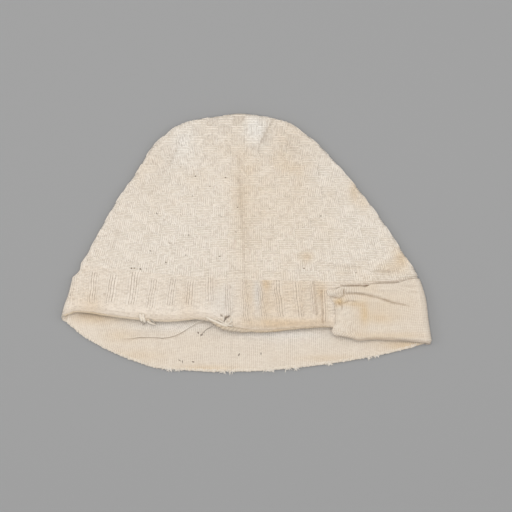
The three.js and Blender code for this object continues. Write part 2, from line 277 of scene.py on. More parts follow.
# Soft folds of the crown, where they lie in plan.
CROWN_CREASES = creases(
    (-0.0049, 0.0608, 0.0003, -0.0074, 0.0048, -0.0005, 0.08),
    (-0.0399, 0.0884, -0.0536, 0.0543, 0.0049, 0.0010),
    (-0.0510, 0.0787, -0.0634, 0.0478, 0.0050, -0.0011, 0.05),
    (0.0210, 0.0917, 0.0100, 0.0690, 0.0044, -0.0012, 0.10),
    (0.0124, 0.0900, 0.0041, 0.0640, 0.0045, 0.0008),
    (0.0275, 0.0835, 0.0179, 0.0770, 0.0072, -0.0008),
    (0.0688, -0.0074, 0.1128, -0.0041, 0.0072, 0.0014),
    (0.0045, 0.0426, 0.0075, 0.0762, 0.0026, 0.0005),
    (-0.0060, 0.0688, -0.0022, 0.0030, 0.0013, -0.0001, 0.12),
    (-0.0022, 0.0030, 0.0007, -0.0523, 0.0012, -0.0001, 0.14),
    (0.0205, 0.0920, 0.0092, 0.0708, 0.0012, -0.0003, 0.2),
    (-0.0495, 0.0745, -0.0590, 0.0530, 0.0013, -0.0002, 0.08),
    (0.0930, -0.0217, 0.1140, -0.0217, 0.0014, -0.0004, 0.25),
    (0.0600, -0.0175, 0.0850, -0.0188, 0.0020, -0.0004, 0.15),
    (-0.1010, -0.0080, -0.0930, 0.0150, 0.0024, -0.0004, 0.1),
    (0.0250, 0.0760, 0.0420, 0.0640, 0.0022, -0.0004, 0.15),
    (0.0300, 0.0860, 0.0460, 0.0780, 0.0022, 0.0004),
)

# The left side's small bumps: places along the cap, and how far it stands out there.
LEFT_BUMPS = (
    (-0.0660, 0.0), (-0.0546, 0.0011), (-0.0470, 0.0014), (-0.0396, 0.0008), (-0.0300, 0.0012),
    (-0.0268, 0.0017), (-0.0232, -0.0004), (-0.0213, -0.0009), (-0.0160, 0.0005), (-0.0118, 0.0),
)

# Painted shade in the gap along the cuff's upper edge, drawn as a dark line on the cloth round it.
CUFF_EDGE_SHADE = creases(
    (0.0705, -0.0331, 0.0900, -0.0326, 0.0009, 0.0, 0.8),
    (0.0880, -0.0327, 0.0935, -0.0332, 0.0009, 0.0, 0.7),
    (0.0925, -0.0331, 0.0995, -0.0306, 0.0009, 0.0, 0.6),
    (0.0980, -0.0306, 0.1120, -0.0302, 0.0009, 0.0, 0.5),
    (0.1105, -0.0302, 0.1200, -0.0278, 0.0009, 0.0, 0.4),
    (0.1185, -0.0282, 0.1290, -0.0247, 0.0009, 0.0, 0.3),
)


def on_front(turn: np.ndarray) -> np.ndarray:
    """Which turns lie on the front layer, between its folds."""
    return (turn >= 1) & (turn <= 2)


def front_span(turn: np.ndarray) -> tuple[int, int]:
    """The first and the last row of a grid of turns that lie on the front."""
    rows = np.flatnonzero(on_front(turn[:, 0]))
    return int(rows[0]), int(rows[-1])


@dataclass
class CapForm:
    """The shape of the flattened bag, shared by all its layers."""

    width: float = 0.275
    body_length: float = 0.1623
    rim_line: float = -0.0658
    back_drop: float = 0.0335
    rim_tilt: float = 0.010
    front_lift: float = 0.0075
    front_lift_span: float = 0.020
    course_sag: float = 0.0055
    top_round: float = 0.012
    fold_radius: float = 0.0036
    crown_loft: float = 0.017
    band_height: float = 0.0437
    crease_ease: float = 0.012
    soft_height: float = 0.00035
    courses: list[Course] = field(init=False)
    rim_back: Course = field(init=False)
    rim_front: Course = field(init=False)
    left_bumps: Course = field(init=False)
    soft: SoftWaves = field(init=False)

    def __post_init__(self) -> None:
        """Makes curves of the tables."""
        self.courses = curves(COURSES)
        self.rim_back, self.rim_front = curves(RIM_EDGE)
        (self.left_bumps,) = curves(LEFT_BUMPS)
        self.soft = SoftWaves(0.034, 11)

    @property
    def half_width(self) -> float:
        """Half of the cap's width."""
        return self.width / 2

    @staticmethod
    def rounded_end(distance: np.ndarray, stretch: float) -> np.ndarray:
        """A quarter circle's share: 0 at the end of a rounded stretch, and 1 from its length on."""
        m = np.clip(distance / stretch, 0, 1)
        return np.sqrt(1 - (1 - m) ** 2)

    @staticmethod
    def across(turn: np.ndarray) -> np.ndarray:
        """Where each turn lies across the cap, from -1 at the left to 1 at the right."""
        front, back = on_front(turn), turn >= 3
        on_fold = np.where(turn < 1, 1.0, -1.0)
        return np.where(front, 3 - 2 * turn, np.where(back, 2 * turn - 7, on_fold))

    def swell(self, across: np.ndarray, rise: np.ndarray) -> np.ndarray:
        """The soft swellings of the front near its rim."""
        left = 0.18 * np.exp(-(((across + 0.72) / 0.2) ** 2) - (rise / 0.12) ** 2)
        right = 0.07 * np.exp(-(((across - 0.62) / 0.25) ** 2) - ((rise - 0.02) / 0.1) ** 2)
        return self.crown_loft * (left - right)

    def points(self, turn: np.ndarray, rise: np.ndarray, depth: np.ndarray) -> np.ndarray:
        """Points of the cap.

        Args:
            turn: once round the cap. 0 to 1 up the right fold, 1 to 2 over the front from right to
                left, 2 to 3 down the left fold and 3 to 4 along the back.
            rise: share of the body's length above the rim.
            depth: how far inside the outer face.

        Returns:
            One point for each, in the last axis.
        """
        turn, rise, depth = np.broadcast_arrays(
            np.asarray(turn, float), np.asarray(rise, float), np.asarray(depth, float)
        )
        centre, base, tilt, sag, loft = (curve(rise) for curve in self.courses)
        to_top = self.body_length * (1 - rise)
        outer_half = self.half_width * base * self.rounded_end(to_top, self.top_round)
        half = outer_half - depth * np.minimum(1, outer_half / self.top_round)
        radius = (self.fold_radius - depth) * self.rounded_end(to_top, self.fold_radius)
        corner = np.minimum(radius, half)
        front, back = on_front(turn), turn >= 3
        across = self.across(turn)
        angle = np.pi * np.where(
            front, 0.5, np.where(back, -0.5, np.where(turn < 1, turn - 0.5, turn - 1.5))
        )
        x = across * (half - corner) + np.where(front | back, 0, corner * np.cos(angle))
        fade = np.clip(1 - rise * self.body_length / self.front_lift_span, 0, 1) ** 2
        front_shift = self.front_lift * self.rim_front(across) * fade
        front_shift = front_shift - self.course_sag * sag * (1 - across**2)
        back_shift = -self.back_drop * self.rim_back(across) * (1 - rise)
        share = (1 + np.sin(angle)) / 2
        y = self.rim_line + rise * (self.body_length - depth)
        y = y - self.rim_tilt * tilt * x / np.maximum(half, 0.001)
        y = y + back_shift + (front_shift - back_shift) * share
        plan = self.half_width * centre + x - smooth_step(-across, 0.8, 1.0) * self.left_bumps(y)
        z = self.fold_radius + radius * np.sin(angle)
        arch = (1 - np.abs(across) ** 2.6) ** 1.5
        edge = 1 - across**6
        lift = self.crown_loft * loft * arch
        lift = lift + edge * self.swell(across, np.maximum(rise, 0))
        lift = lift + edge * self.crease_lift(plan, y, rise)
        lift = lift + edge * self.rounded_end(to_top, 0.03) * self.soft_height * self.soft(plan, y)
        return np.stack([plan, y, z + np.where(front, lift, 0)], -1)

    def crease_lift(self, x: np.ndarray, y: np.ndarray, rise: np.ndarray) -> np.ndarray:
        """The height of the crown's creases, which fade in above the band."""
        eased = smooth_step(rise * self.body_length - self.band_height, 0, self.crease_ease)
        return eased * sum(crease.height * crease.amount(x, y) for crease in CROWN_CREASES)


@dataclass
class Sheet:
    """A closed layer of cloth, given as a grid of points round the cap and round its own profile."""

    name: str
    points: np.ndarray
    stitches: np.ndarray
    wear: np.ndarray
    wraps: bool = True
    merge: float = 2e-6
    smallest_edge: float = 1e-7
    sharp_angle: float = 55

    def corners(self) -> tuple[np.ndarray, np.ndarray]:
        """The quads between neighbouring points.

        Returns:
            Grid columns and grid rows of each quad's corners.
        """
        columns, rows = self.points.shape[:2]
        j, i = np.meshgrid(np.arange(columns - 1), np.arange(rows), indexing="ij")
        j, i = j.ravel(), i.ravel()
        around = np.stack([j, j, j + 1, j + 1], 1)
        along = np.stack([i, (i + 1) % rows, (i + 1) % rows, i], 1)
        return around, along

    def end_caps(self, rows: int, last: int) -> list[list[int]]:
        """Strips that close the two ends of a sheet that doesn't wrap.

        Args:
            rows: points in the profile.
            last: the last column.

        Returns:
            Faces, as lists of vertex numbers.
        """
        caps = []
        for column, flip in ((0, True), (last, False)):
            low, high = 0, rows - 1
            while high - low >= 2:
                ring = [low, low + 1, high] if high - low == 2 else [low, low + 1, high - 1, high]
                face = [column * rows + k for k in ring]
                caps.append(face[::-1] if flip else face)
                low, high = low + 1, high - 1
        return caps

    def build(self) -> bpy.types.Object:
        """Makes the mesh with its stitch map and its soil, bleach and darkening, painted light and
        shade among them.

        Returns:
            The new object, at the origin.
        """
        columns, rows = self.points.shape[:2]
        kept = columns - 1 if self.wraps else columns
        around, along = self.corners()
        quads = (around % kept) * rows + along
        flat = self.points[:kept].reshape(-1, 3)
        a, b, c, d = (flat[quads[:, k]] for k in range(4))
        volume = np.einsum("ij,ij->", a, np.cross(b, c)) + np.einsum("ij,ij->", a, np.cross(c, d))
        caps = [] if self.wraps else self.end_caps(rows, columns - 1)
        if volume < 0:
            quads, around, along = quads[:, ::-1], around[:, ::-1], along[:, ::-1]
            caps = [face[::-1] for face in caps]
        mesh = bpy.data.meshes.new(self.name)
        mesh.from_pydata(flat.tolist(), [], quads.tolist() + caps)
        layer = mesh.uv_layers.new(name="stitches")
        values = np.zeros((len(mesh.loops), 2))
        values[: quads.size] = self.stitches[around, along].reshape(-1, 2)
        ends = np.array([k for face in caps for k in face], int)
        values[quads.size :] = self.stitches[ends // rows, ends % rows] if len(ends) else 0
        layer.uv.foreach_set("vector", values.astype(np.float32).ravel())
        set_wear_and_shading(mesh, self.wear[:kept].reshape(-1, 3))
        clean = bmesh.new()
        clean.from_mesh(mesh)
        bmesh.ops.remove_doubles(clean, verts=clean.verts, dist=self.merge)
        bmesh.ops.dissolve_degenerate(clean, edges=clean.edges, dist=self.smallest_edge)
        clean.to_mesh(mesh)
        clean.free()
        mesh.shade_smooth()
        mesh.set_sharp_from_angle(angle=math.radians(self.sharp_angle))
        return show(self.name, mesh)


@dataclass
class Gauge:
    """How many stitches and rows the knit has, and where each stitch of the cap lies."""

    form: CapForm
    stitch: float = 0.00162
    stitch_line: float = -0.0097
    fan_top: float = 0.3834
    fan_middle: float = -0.0008
    row: float = 0.001214
    block_stitches: int = 8
    block_rows: int = 6

    def pitch(self, y: np.ndarray) -> np.ndarray:
        """The width of a stitch at a place along the cap, since the wales fan together upwards."""
        return self.stitch * (self.fan_top - y) / (self.fan_top - self.stitch_line)

    def stitches(self, turn: np.ndarray, rise: np.ndarray) -> np.ndarray:
        """Numbers the stitches and rows on a grid of places.

        Args:
            turn: grid of turns that starts and ends at the middle of the back.
            rise: grid of rises.

        Returns:
            Stitch and row for each place, in the last axis.
        """
        place = self.form.points(turn, rise, 0.0)
        x, y = place[..., 0], place[..., 1]
        pitch = self.pitch(y)
        front = (x - self.fan_middle) / pitch
        steps = np.linalg.norm(np.diff(place[..., :2], axis=0), axis=-1)
        folds = np.linalg.norm(np.diff(place, axis=0), axis=-1)
        on_fold = (turn[:-1] < 1) | ((turn[:-1] >= 2) & (turn[:-1] < 3))
        walk = np.where(on_fold, folds, steps)
        along = np.concatenate([np.zeros((1,) + walk.shape[1:]), np.cumsum(walk, 0)], 0)
        first, last = front_span(turn)
        wale = front.copy()
        wale[:first] = front[first] + (along[first] - along[:first]) / pitch[:first]
        wale[last + 1 :] = front[last] - (along[last + 1 :] - along[last]) / pitch[last + 1 :]
        row = (rise * self.form.body_length - self.form.band_height) / self.row
        return np.stack([wale, row], -1)

    def knit_share(self, stitches: np.ndarray) -> np.ndarray:
        """Which blocks of the basket knit are raised.

        Args:
            stitches: stitch and row for each place.

        Returns:
            1 inside a raised block, 0 inside a sunk one, with soft edges.
        """
        u = stitches[..., 0] / self.block_stitches
        v = stitches[..., 1] / self.block_rows
        wave = np.sin(np.pi * u) * np.sin(np.pi * v)
        return 0.5 + 0.5 * np.tanh(3.0 * wave)


def round_turns(on_front: int, on_back: int, on_fold: int) -> np.ndarray:
    """Turns round the cap, from the middle of the back and back to it.

    Args:
        on_front: steps over the front.
        on_back: steps along the back.
        on_fold: steps on each fold.

    Returns:
        The turns, as a column. The first and the last are one place.
    """
    half_back = on_back // 2
    parts = [
        np.linspace(3.5, 4.0, half_back + 1)[:-1],
        np.linspace(0.0, 1.0, on_fold + 1)[:-1],
        np.linspace(1.0, 2.0, on_front + 1),
        np.linspace(2.0, 3.0, on_fold + 1)[1:],
        np.linspace(3.0, 3.5, half_back + 1)[1:],
    ]
    return np.concatenate(parts)[:, None]


def cloth_grid(
    steps: tuple[int, int, int], outer: np.ndarray, inner: np.ndarray, depth: float, wall: float
) -> tuple[np.ndarray, np.ndarray, np.ndarray]:
    """The grid of a cloth that goes all the way round the cap.

    Args:
        steps: steps over the front, along the back and on each fold.
        outer: rises of the outer face.
        inner: rises of the inner face, in the order of the section.
        depth: how deep the outer face lies.
        wall: the cloth's thickness.

    Returns:
        Turns, rises and depths.
    """
    rise = np.concatenate([outer, inner])[None, :]
    depths = np.repeat([depth, depth + wall], [len(outer), len(inner)])[None, :]
    return tuple(np.broadcast_arrays(round_turns(*steps), rise, depths))


@dataclass
class Stitches:
    """Places, directions and sizes of stitches, each row in one array."""

    places: np.ndarray
    across: np.ndarray
    upward: np.ndarray
    sizes: np.ndarray
    smooth: np.ndarray
    wear: np.ndarray
    turns: np.ndarray

    def pick(self, chosen: np.ndarray) -> "Stitches":
        """The stitches that a mask chooses."""
        return Stitches(*(getattr(self, name)[chosen] for name in self.__dataclass_fields__))

    @property
    def in_front(self) -> np.ndarray:
        """Which stitches lie on the front half."""
        return (self.turns > 0.5) & (self.turns < 2.5)


@dataclass(frozen=True)
class Strand:
    """A short length of yarn in a stitch, in shares of the stitch's width and height."""

    path: tuple[tuple[float, float, float], ...]
    width: float
    height: float

    def solid(self) -> tuple[list[Vector], list[tuple[int, ...]]]:
        """A slim closed form with pointed ends and a ridge on top.

        Returns:
            Its points and its faces.
        """
        points = [Vector(self.path[0])]
        for before, here, after in zip(self.path, self.path[1:], self.path[2:]):
            way = Vector(after) - Vector(before)
            side = Vector((way.y, -way.x, 0)).normalized() * self.width
            rise = Vector((0, 0, self.height))
            points += [Vector(here) - side - rise, Vector(here) + side - rise, Vector(here) + rise]
        points.append(Vector(self.path[-1]))
        rings = len(self.path) - 2
        last = len(points) - 1
        faces: list[tuple[int, ...]] = []
        for k in range(3):
            near, far = 1 + k, 1 + (k + 1) % 3
            faces.append((0, near, far))
            for step in range(0, 3 * rings - 3, 3):
                faces.append((near + step, near + step + 3, far + step + 3, far + step))
            faces.append((near + 3 * rings - 3, last, far + 3 * rings - 3))
        return points, faces


# The strands of a smooth stitch's right leg, of a ridged stitch and of a fine one.
LEG = ((0.05, -1.05, -0.14), (0.10, -0.62, 0.10), (0.20, 0.36, 0.12), (0.26, 0.92, -0.14))
PURL = ((-0.72, -0.10, -0.02), (-0.26, 0.05, 0.1), (0.26, 0.05, 0.1), (0.72, -0.10, -0.02))
BEAD = ((0.05, -0.66, -0.06), (0.0, -0.25, 0.1), (0.0, 0.25, 0.1), (-0.05, 0.66, -0.06))


class Face(Enum):
    """The faces of a knitted stitch: a small V, a ridge across, and a fine V seen as one bead."""

    SMOOTH = (Strand(LEG, 0.24, 0.17), Strand(tuple((-x, y, z) for x, y, z in LEG), 0.24, 0.17))
    RIDGED = (Strand(PURL, 0.49, 0.25),)
    FINE = (Strand(BEAD, 0.54, 0.17),)

    def model(self) -> bpy.types.Object:
        """One stitch, as a small closed mesh."""
        mesh = bmesh.new()
        for strand in self.value:
            points, faces = strand.solid()
            made = [mesh.verts.new(point) for point in points]
            for ring in faces:
                mesh.faces.new([made[k] for k in ring])
        bmesh.ops.recalc_face_normals(mesh, faces=mesh.faces)
        for edge in mesh.edges:
            edge.smooth = edge.calc_face_angle() < math.radians(75)
        data = bpy.data.meshes.new(self.name.lower())
        mesh.to_mesh(data)
        mesh.free()
        return bpy.data.objects.new(self.name.lower(), data)


@dataclass
class KnitRows:
    """Lays stitches over the ground of a piece, by Geometry Nodes."""

    form: CapForm
    gauge: Gauge
    yarn: float = 0.0009
    unevenness: float = 0.14
    seed: int = 7
    second_face: Face = Face.RIDGED
    tone: float = 0.2
    speck_tone: float = 0.6
    speck_share: float = 0.015
    # How finely each row is searched for its stitches, and how high the topmost row may lie.
    search_steps: tuple[int, int, int] = (1400, 700, 48)
    highest: float = 0.9985
    small_rise: float = 0.0005

    def lay(
        self,
        rows: range,
        number: Callable[[np.ndarray, np.ndarray], np.ndarray],
        dress: Callable[[np.ndarray, np.ndarray, np.ndarray], tuple[np.ndarray, np.ndarray]],
        wear: Callable[[np.ndarray], np.ndarray],
    ) -> Stitches:
        """Finds the place of each stitch in the rows.

        Args:
            rows: row numbers, counted from the top of the band.
            number: numbers the stitches on a grid of turns and rises.
            dress: gives the depth of the ground and the face of each stitch.
            wear: gives soil, bleach and darkening at each place, painted light and shade among them.

        Returns:
            All the stitches of the rows.
        """
        axis = round_turns(*self.search_steps)
        level = self.form.band_height + (np.array(rows) + 0.5) * self.gauge.row
        rise = np.minimum(level / self.form.body_length, self.highest)[None, :]
        turn, rise = np.broadcast_arrays(axis, rise)
        wales = number(turn, rise)[..., 0]
        run = axis[:, 0].copy()
        run[: int(np.argmin(run))] -= 4
        found = []
        for k in range(wales.shape[1]):
            column = wales[::-1, k]
            middles = np.arange(math.ceil(column[0]), math.floor(column[-1])) + 0.5
            left, here, right = (
                np.interp(middles + step, column, run[::-1]) for step in (-0.5, 0, 0.5)
            )
            found.append(rows_of(len(here), here, left, right, rise[0, k], middles, rows[k] + 0.5))
        here, left, right, rise, wale, row = np.concatenate(found).T
        here, left, right = here % 4, left % 4, right % 4
        depth, smooth = dress(np.stack([wale, row], -1), here, rise)
        place = self.form.points(here, rise, depth)
        across = self.form.points(right, rise, depth) - self.form.points(left, rise, depth)
        above, below = rise + self.small_rise, rise - self.small_rise
        upward = self.form.points(here, above, depth) - self.form.points(here, below, depth)
        sizes = rows_of(len(place), np.linalg.norm(across, axis=-1), self.gauge.row, self.yarn)
        return Stitches(place, across, upward, sizes, smooth, wear(place), here)

    def cover(
        self,
        grid: np.ndarray,
        pitch: tuple[float, float],
        wear: Callable[[np.ndarray], np.ndarray],
    ) -> Stitches:
        """Lays stitches at an even pitch over a grid of points.

        Args:
            grid: points, along the rows in the first axis and up the cloth in the second.
            pitch: a stitch's width and height.
            wear: gives soil, bleach and darkening at each place, painted light and shade among them.

        Returns:
            The stitches.
        """
        middle = grid.shape[0] // 2, grid.shape[1] // 2
        runs = [lengths_along(line) for line in (grid[:, middle[1]], grid[middle[0]])]
        steps = [np.arange(size * 0.5, run[-1], size) for size, run in zip(pitch, runs)]
        i, j = (np.interp(step, run, np.arange(len(run))) for step, run in zip(steps, runs))
        i, j = (part.ravel() for part in np.meshgrid(i, j, indexing="ij"))

        def read(i: np.ndarray, j: np.ndarray) -> np.ndarray:
            """Reads the grid between its points."""
            i, j = np.clip(i, 0, grid.shape[0] - 1.001), np.clip(j, 0, grid.shape[1] - 1.001)
            m, n = i.astype(int), j.astype(int)
            s, t = (i - m)[:, None], (j - n)[:, None]
            low = grid[m, n] * (1 - s) + grid[m + 1, n] * s
            return low * (1 - t) + (grid[m, n + 1] * (1 - s) + grid[m + 1, n + 1] * s) * t

        place = read(i, j)
        across = read(i + 0.5, j) - read(i - 0.5, j)
        upward = read(i, j + 0.5) - read(i, j - 0.5)
        sizes = np.tile([*pitch, self.yarn], (len(place), 1))
        return Stitches(place, across, upward, sizes, np.zeros(len(place), bool), wear(place), i)

    def tree(self, material: bpy.types.Material) -> bpy.types.GeometryNodeTree:
        """The node tree that sets a stitch on each point.

        Args:
            material: the yarn's finish.

        Returns:
            The tree.
        """
        tree = bpy.data.node_groups.new("knit_rows", "GeometryNodeTree")
        for name, way, kind in (
            ("Geometry", "INPUT", "Geometry"), ("Smooth Stitch", "INPUT", "Object"),
            ("Ridged Stitch", "INPUT", "Object"), ("Unevenness", "INPUT", "Float"),
            ("Seed", "INPUT", "Int"), ("Geometry", "OUTPUT", "Geometry"),
        ):
            tree.interface.new_socket(name, in_out=way, socket_type="NodeSocket" + kind)
        add, link = tree.nodes.new, tree.links.new
        given, result = add("NodeGroupInput"), add("NodeGroupOutput")

        def read(name: str, kind: str) -> bpy.types.NodeSocket:
            """Reads an attribute of the points."""
            node = add("GeometryNodeInputNamedAttribute")
            node.data_type = kind
            node.inputs["Name"].default_value = name
            return next(out for out in node.outputs if out.enabled and out.name == "Attribute")

        upright = add("FunctionNodeAlignRotationToVector")
        upright.axis = "Z"
        link(read("outward", "FLOAT_VECTOR"), upright.inputs["Vector"])
        turned = add("FunctionNodeAlignRotationToVector")
        turned.axis, turned.pivot_axis = "X", "Z"
        link(upright.outputs[0], turned.inputs["Rotation"])
        link(read("across", "FLOAT_VECTOR"), turned.inputs["Vector"])
        chance = add("FunctionNodeRandomValue")
        chance.data_type = "FLOAT_VECTOR"
        low, high = add("ShaderNodeMath"), add("ShaderNodeMath")
        low.operation, high.operation = "SUBTRACT", "ADD"
        for node in (low, high):
            node.inputs[0].default_value = 1.0
            link(given.outputs["Unevenness"], node.inputs[1])
        link(low.outputs[0], chance.inputs["Min"])
        link(high.outputs[0], chance.inputs["Max"])
        link(given.outputs["Seed"], chance.inputs["Seed"])
        sized = add("ShaderNodeVectorMath")
        sized.operation = "MULTIPLY"
        link(read("size", "FLOAT_VECTOR"), sized.inputs[0])
        link(chance.outputs["Value"], sized.inputs[1])
        smooth = read("smooth", "BOOLEAN")
        ridged = add("FunctionNodeBooleanMath")
        ridged.operation = "NOT"
        link(smooth, ridged.inputs[0])
        both = add("GeometryNodeJoinGeometry")
        for chosen, name in ((smooth, "Smooth Stitch"), (ridged.outputs[0], "Ridged Stitch")):
            model = add("GeometryNodeObjectInfo")
            link(given.outputs[name], model.inputs["Object"])
            placed = add("GeometryNodeInstanceOnPoints")
            link(given.outputs["Geometry"], placed.inputs["Points"])
            link(chosen, placed.inputs["Selection"])
            link(model.outputs["Geometry"], placed.inputs["Instance"])
            link(turned.outputs[0], placed.inputs["Rotation"])
            link(sized.outputs[0], placed.inputs["Scale"])
            link(placed.outputs[0], both.inputs[0])
        real = add("GeometryNodeRealizeInstances")
        link(both.outputs[0], real.inputs[0])
        soft = add("GeometryNodeSetShadeSmooth")
        link(real.outputs[0], soft.inputs["Geometry"])
        dressed = add("GeometryNodeSetMaterial")
        dressed.inputs["Material"].default_value = material
        link(soft.outputs[0], dressed.inputs["Geometry"])
        link(dressed.outputs[0], result.inputs[0])
        return tree

    def knit(
        self, name: str, stitches: Stitches, material: bpy.types.Material, slot: str
    ) -> bpy.types.Object:
        """Turns stitches into one piece of looped yarn.

        Args:
            name: the piece's name.
            stitches: where they lie.
            material: the yarn's finish.
            slot: the record's material slot.

        Returns:
            The piece.
        """
        points = bpy.data.meshes.new(name)
        points.from_pydata(stitches.places.tolist(), [], [])
        outward = np.cross(stitches.across, stitches.upward)
        vectors = {"across": stitches.across, "outward": outward, "size": stitches.sizes}
        for key, values in vectors.items():
            layer = points.attributes.new(key, "FLOAT_VECTOR", "POINT")
            layer.data.foreach_set("vector", values.astype(np.float32).ravel())
        points.attributes.new("smooth", "BOOLEAN", "POINT").data.foreach_set("value", stitches.smooth)
        wear = stitches.wear.copy()
        chance = np.random.default_rng(self.seed).random((2, len(wear)))
        speckled = self.speck_tone * (chance[1] > 1 - self.speck_share)
        wear[:, Tint.DIRT.value] += self.tone * (chance[0] ** 3 + speckled)
        set_wear_and_shading(points, wear)
        carrier = show(name + "_rows", points)
        modifier = carrier.modifiers.new("rows", "NODES")
        modifier.node_group = self.tree(material)
        models = [Face.SMOOTH.model(), self.second_face.model()]
        names = ("Smooth Stitch", "Ridged Stitch", "Unevenness", "Seed")
        given = dict(zip(names, (*models, self.unevenness, self.seed)))
        for socket in modifier.node_group.interface.items_tree:
            if socket.in_out == "INPUT" and socket.name in given:
                modifier[socket.identifier] = given[socket.name]
        shape = carrier.evaluated_get(bpy.context.evaluated_depsgraph_get())
        mesh = bpy.data.meshes.new_from_object(shape)
        mesh.name = name
        for spent in (carrier, *models):
            bpy.data.objects.remove(spent)
        for key in (*vectors, "smooth"):
            if key in mesh.attributes:
                mesh.attributes.remove(mesh.attributes[key])
        piece = show(name, mesh)
        finish_piece(piece, material, slot)
        return piece


class Pattern(Enum):
    """The ways in which the cloth is knitted, or laid as loops that carry their own relief."""

    BASKET = 0
    RIB = 1
    PLAIN = 2
    LOOPS = 3


class Recipe:
    """Adds the nodes of one material, with short ways to write sums."""

    def __init__(self, name: str) -> None:
        """Starts an empty material.

        Args:
            name: the material's name.
        """
        self.material = bpy.data.materials.new(name)
        self.material.use_nodes = True
        self.tree = self.material.node_tree
        self.tree.nodes.clear()

    def add(self, kind: str, **settings: object) -> bpy.types.Node:
        """Adds a node and sets its options."""
        node = self.tree.nodes.new(kind)
        for key, value in settings.items():
            setattr(node, key, value)
        return node

    def join(self, source: object, socket: bpy.types.NodeSocket) -> None:
        """Feeds a socket from another socket, or gives it a plain value."""
        if isinstance(source, bpy.types.NodeSocket):
            self.tree.links.new(source, socket)
        else:
            socket.default_value = source

    def math(self, operation: str, *values: object) -> bpy.types.NodeSocket:
        """Adds one sum.

        Args:
            operation: the kind of sum.
            values: its inputs, sockets or numbers.

        Returns:
            The sum's output.
        """
        node = self.add("ShaderNodeMath", operation=operation)
        for value, socket in zip(values, node.inputs):
            self.join(value, socket)
        return node.outputs[0]

    def times(self, first: object, second: object) -> bpy.types.NodeSocket:
        """Multiplies two numbers."""
        return self.math("MULTIPLY", first, second)

    def plus(self, first: object, second: object) -> bpy.types.NodeSocket:
        """Adds two numbers."""
        return self.math("ADD", first, second)

    def less(self, first: object, second: object) -> bpy.types.NodeSocket:
        """Takes the second number from the first."""
        return self.math("SUBTRACT", first, second)

    def mix(self, share: object, first: object, second: object) -> bpy.types.NodeSocket:
        """Mixes two colours.

        Args:
            share: how much of the second.
            first: a colour or socket.
            second: a colour or socket.

        Returns:
            The mixed colour.
        """
        node = self.add("ShaderNodeMix", data_type="RGBA", clamp_factor=True)
        self.join(share, node.inputs[0])
        self.join(first, node.inputs[6])
        self.join(second, node.inputs[7])
        return node.outputs[2]

    def blend(self, share: object, first: object, second: object) -> bpy.types.NodeSocket:
        """Mixes two numbers."""
        node = self.add("ShaderNodeMix", data_type="FLOAT")
        self.join(share, node.inputs[0])
        self.join(first, node.inputs[2])
        self.join(second, node.inputs[3])
        return node.outputs[0]

    def noise(self, where: object, scale: float, detail: float = 2.0) -> bpy.types.NodeSocket:
        """Adds cloudy noise, from 0 to 1."""
        node = self.add("ShaderNodeTexNoise")
        self.join(where, node.inputs["Vector"])
        node.inputs["Scale"].default_value = scale
        node.inputs["Detail"].default_value = detail
        return node.outputs[0]

    def ramp(self, value: object, low: float, high: float) -> bpy.types.NodeSocket:
        """Stretches a number so that low becomes 0 and high becomes 1."""
        node = self.add("ShaderNodeMapRange")
        self.join(value, node.inputs[0])
        node.inputs[1].default_value = low
        node.inputs[2].default_value = high
        return node.outputs[0]


def linear(red: int, green: int, blue: int) -> tuple[float, float, float, float]:
    """A colour as light, from the values that a screen shows.

    Args:
        red: from 0 to 255.
        green: from 0 to 255.
        blue: from 0 to 255.

    Returns:
        The colour with full cover.
    """
    share = np.array([red, green, blue]) / 255
    light = np.where(share <= 0.04045, share / 12.92, ((share + 0.055) / 1.055) ** 2.4)
    return (*(float(v) for v in light), 1.0)


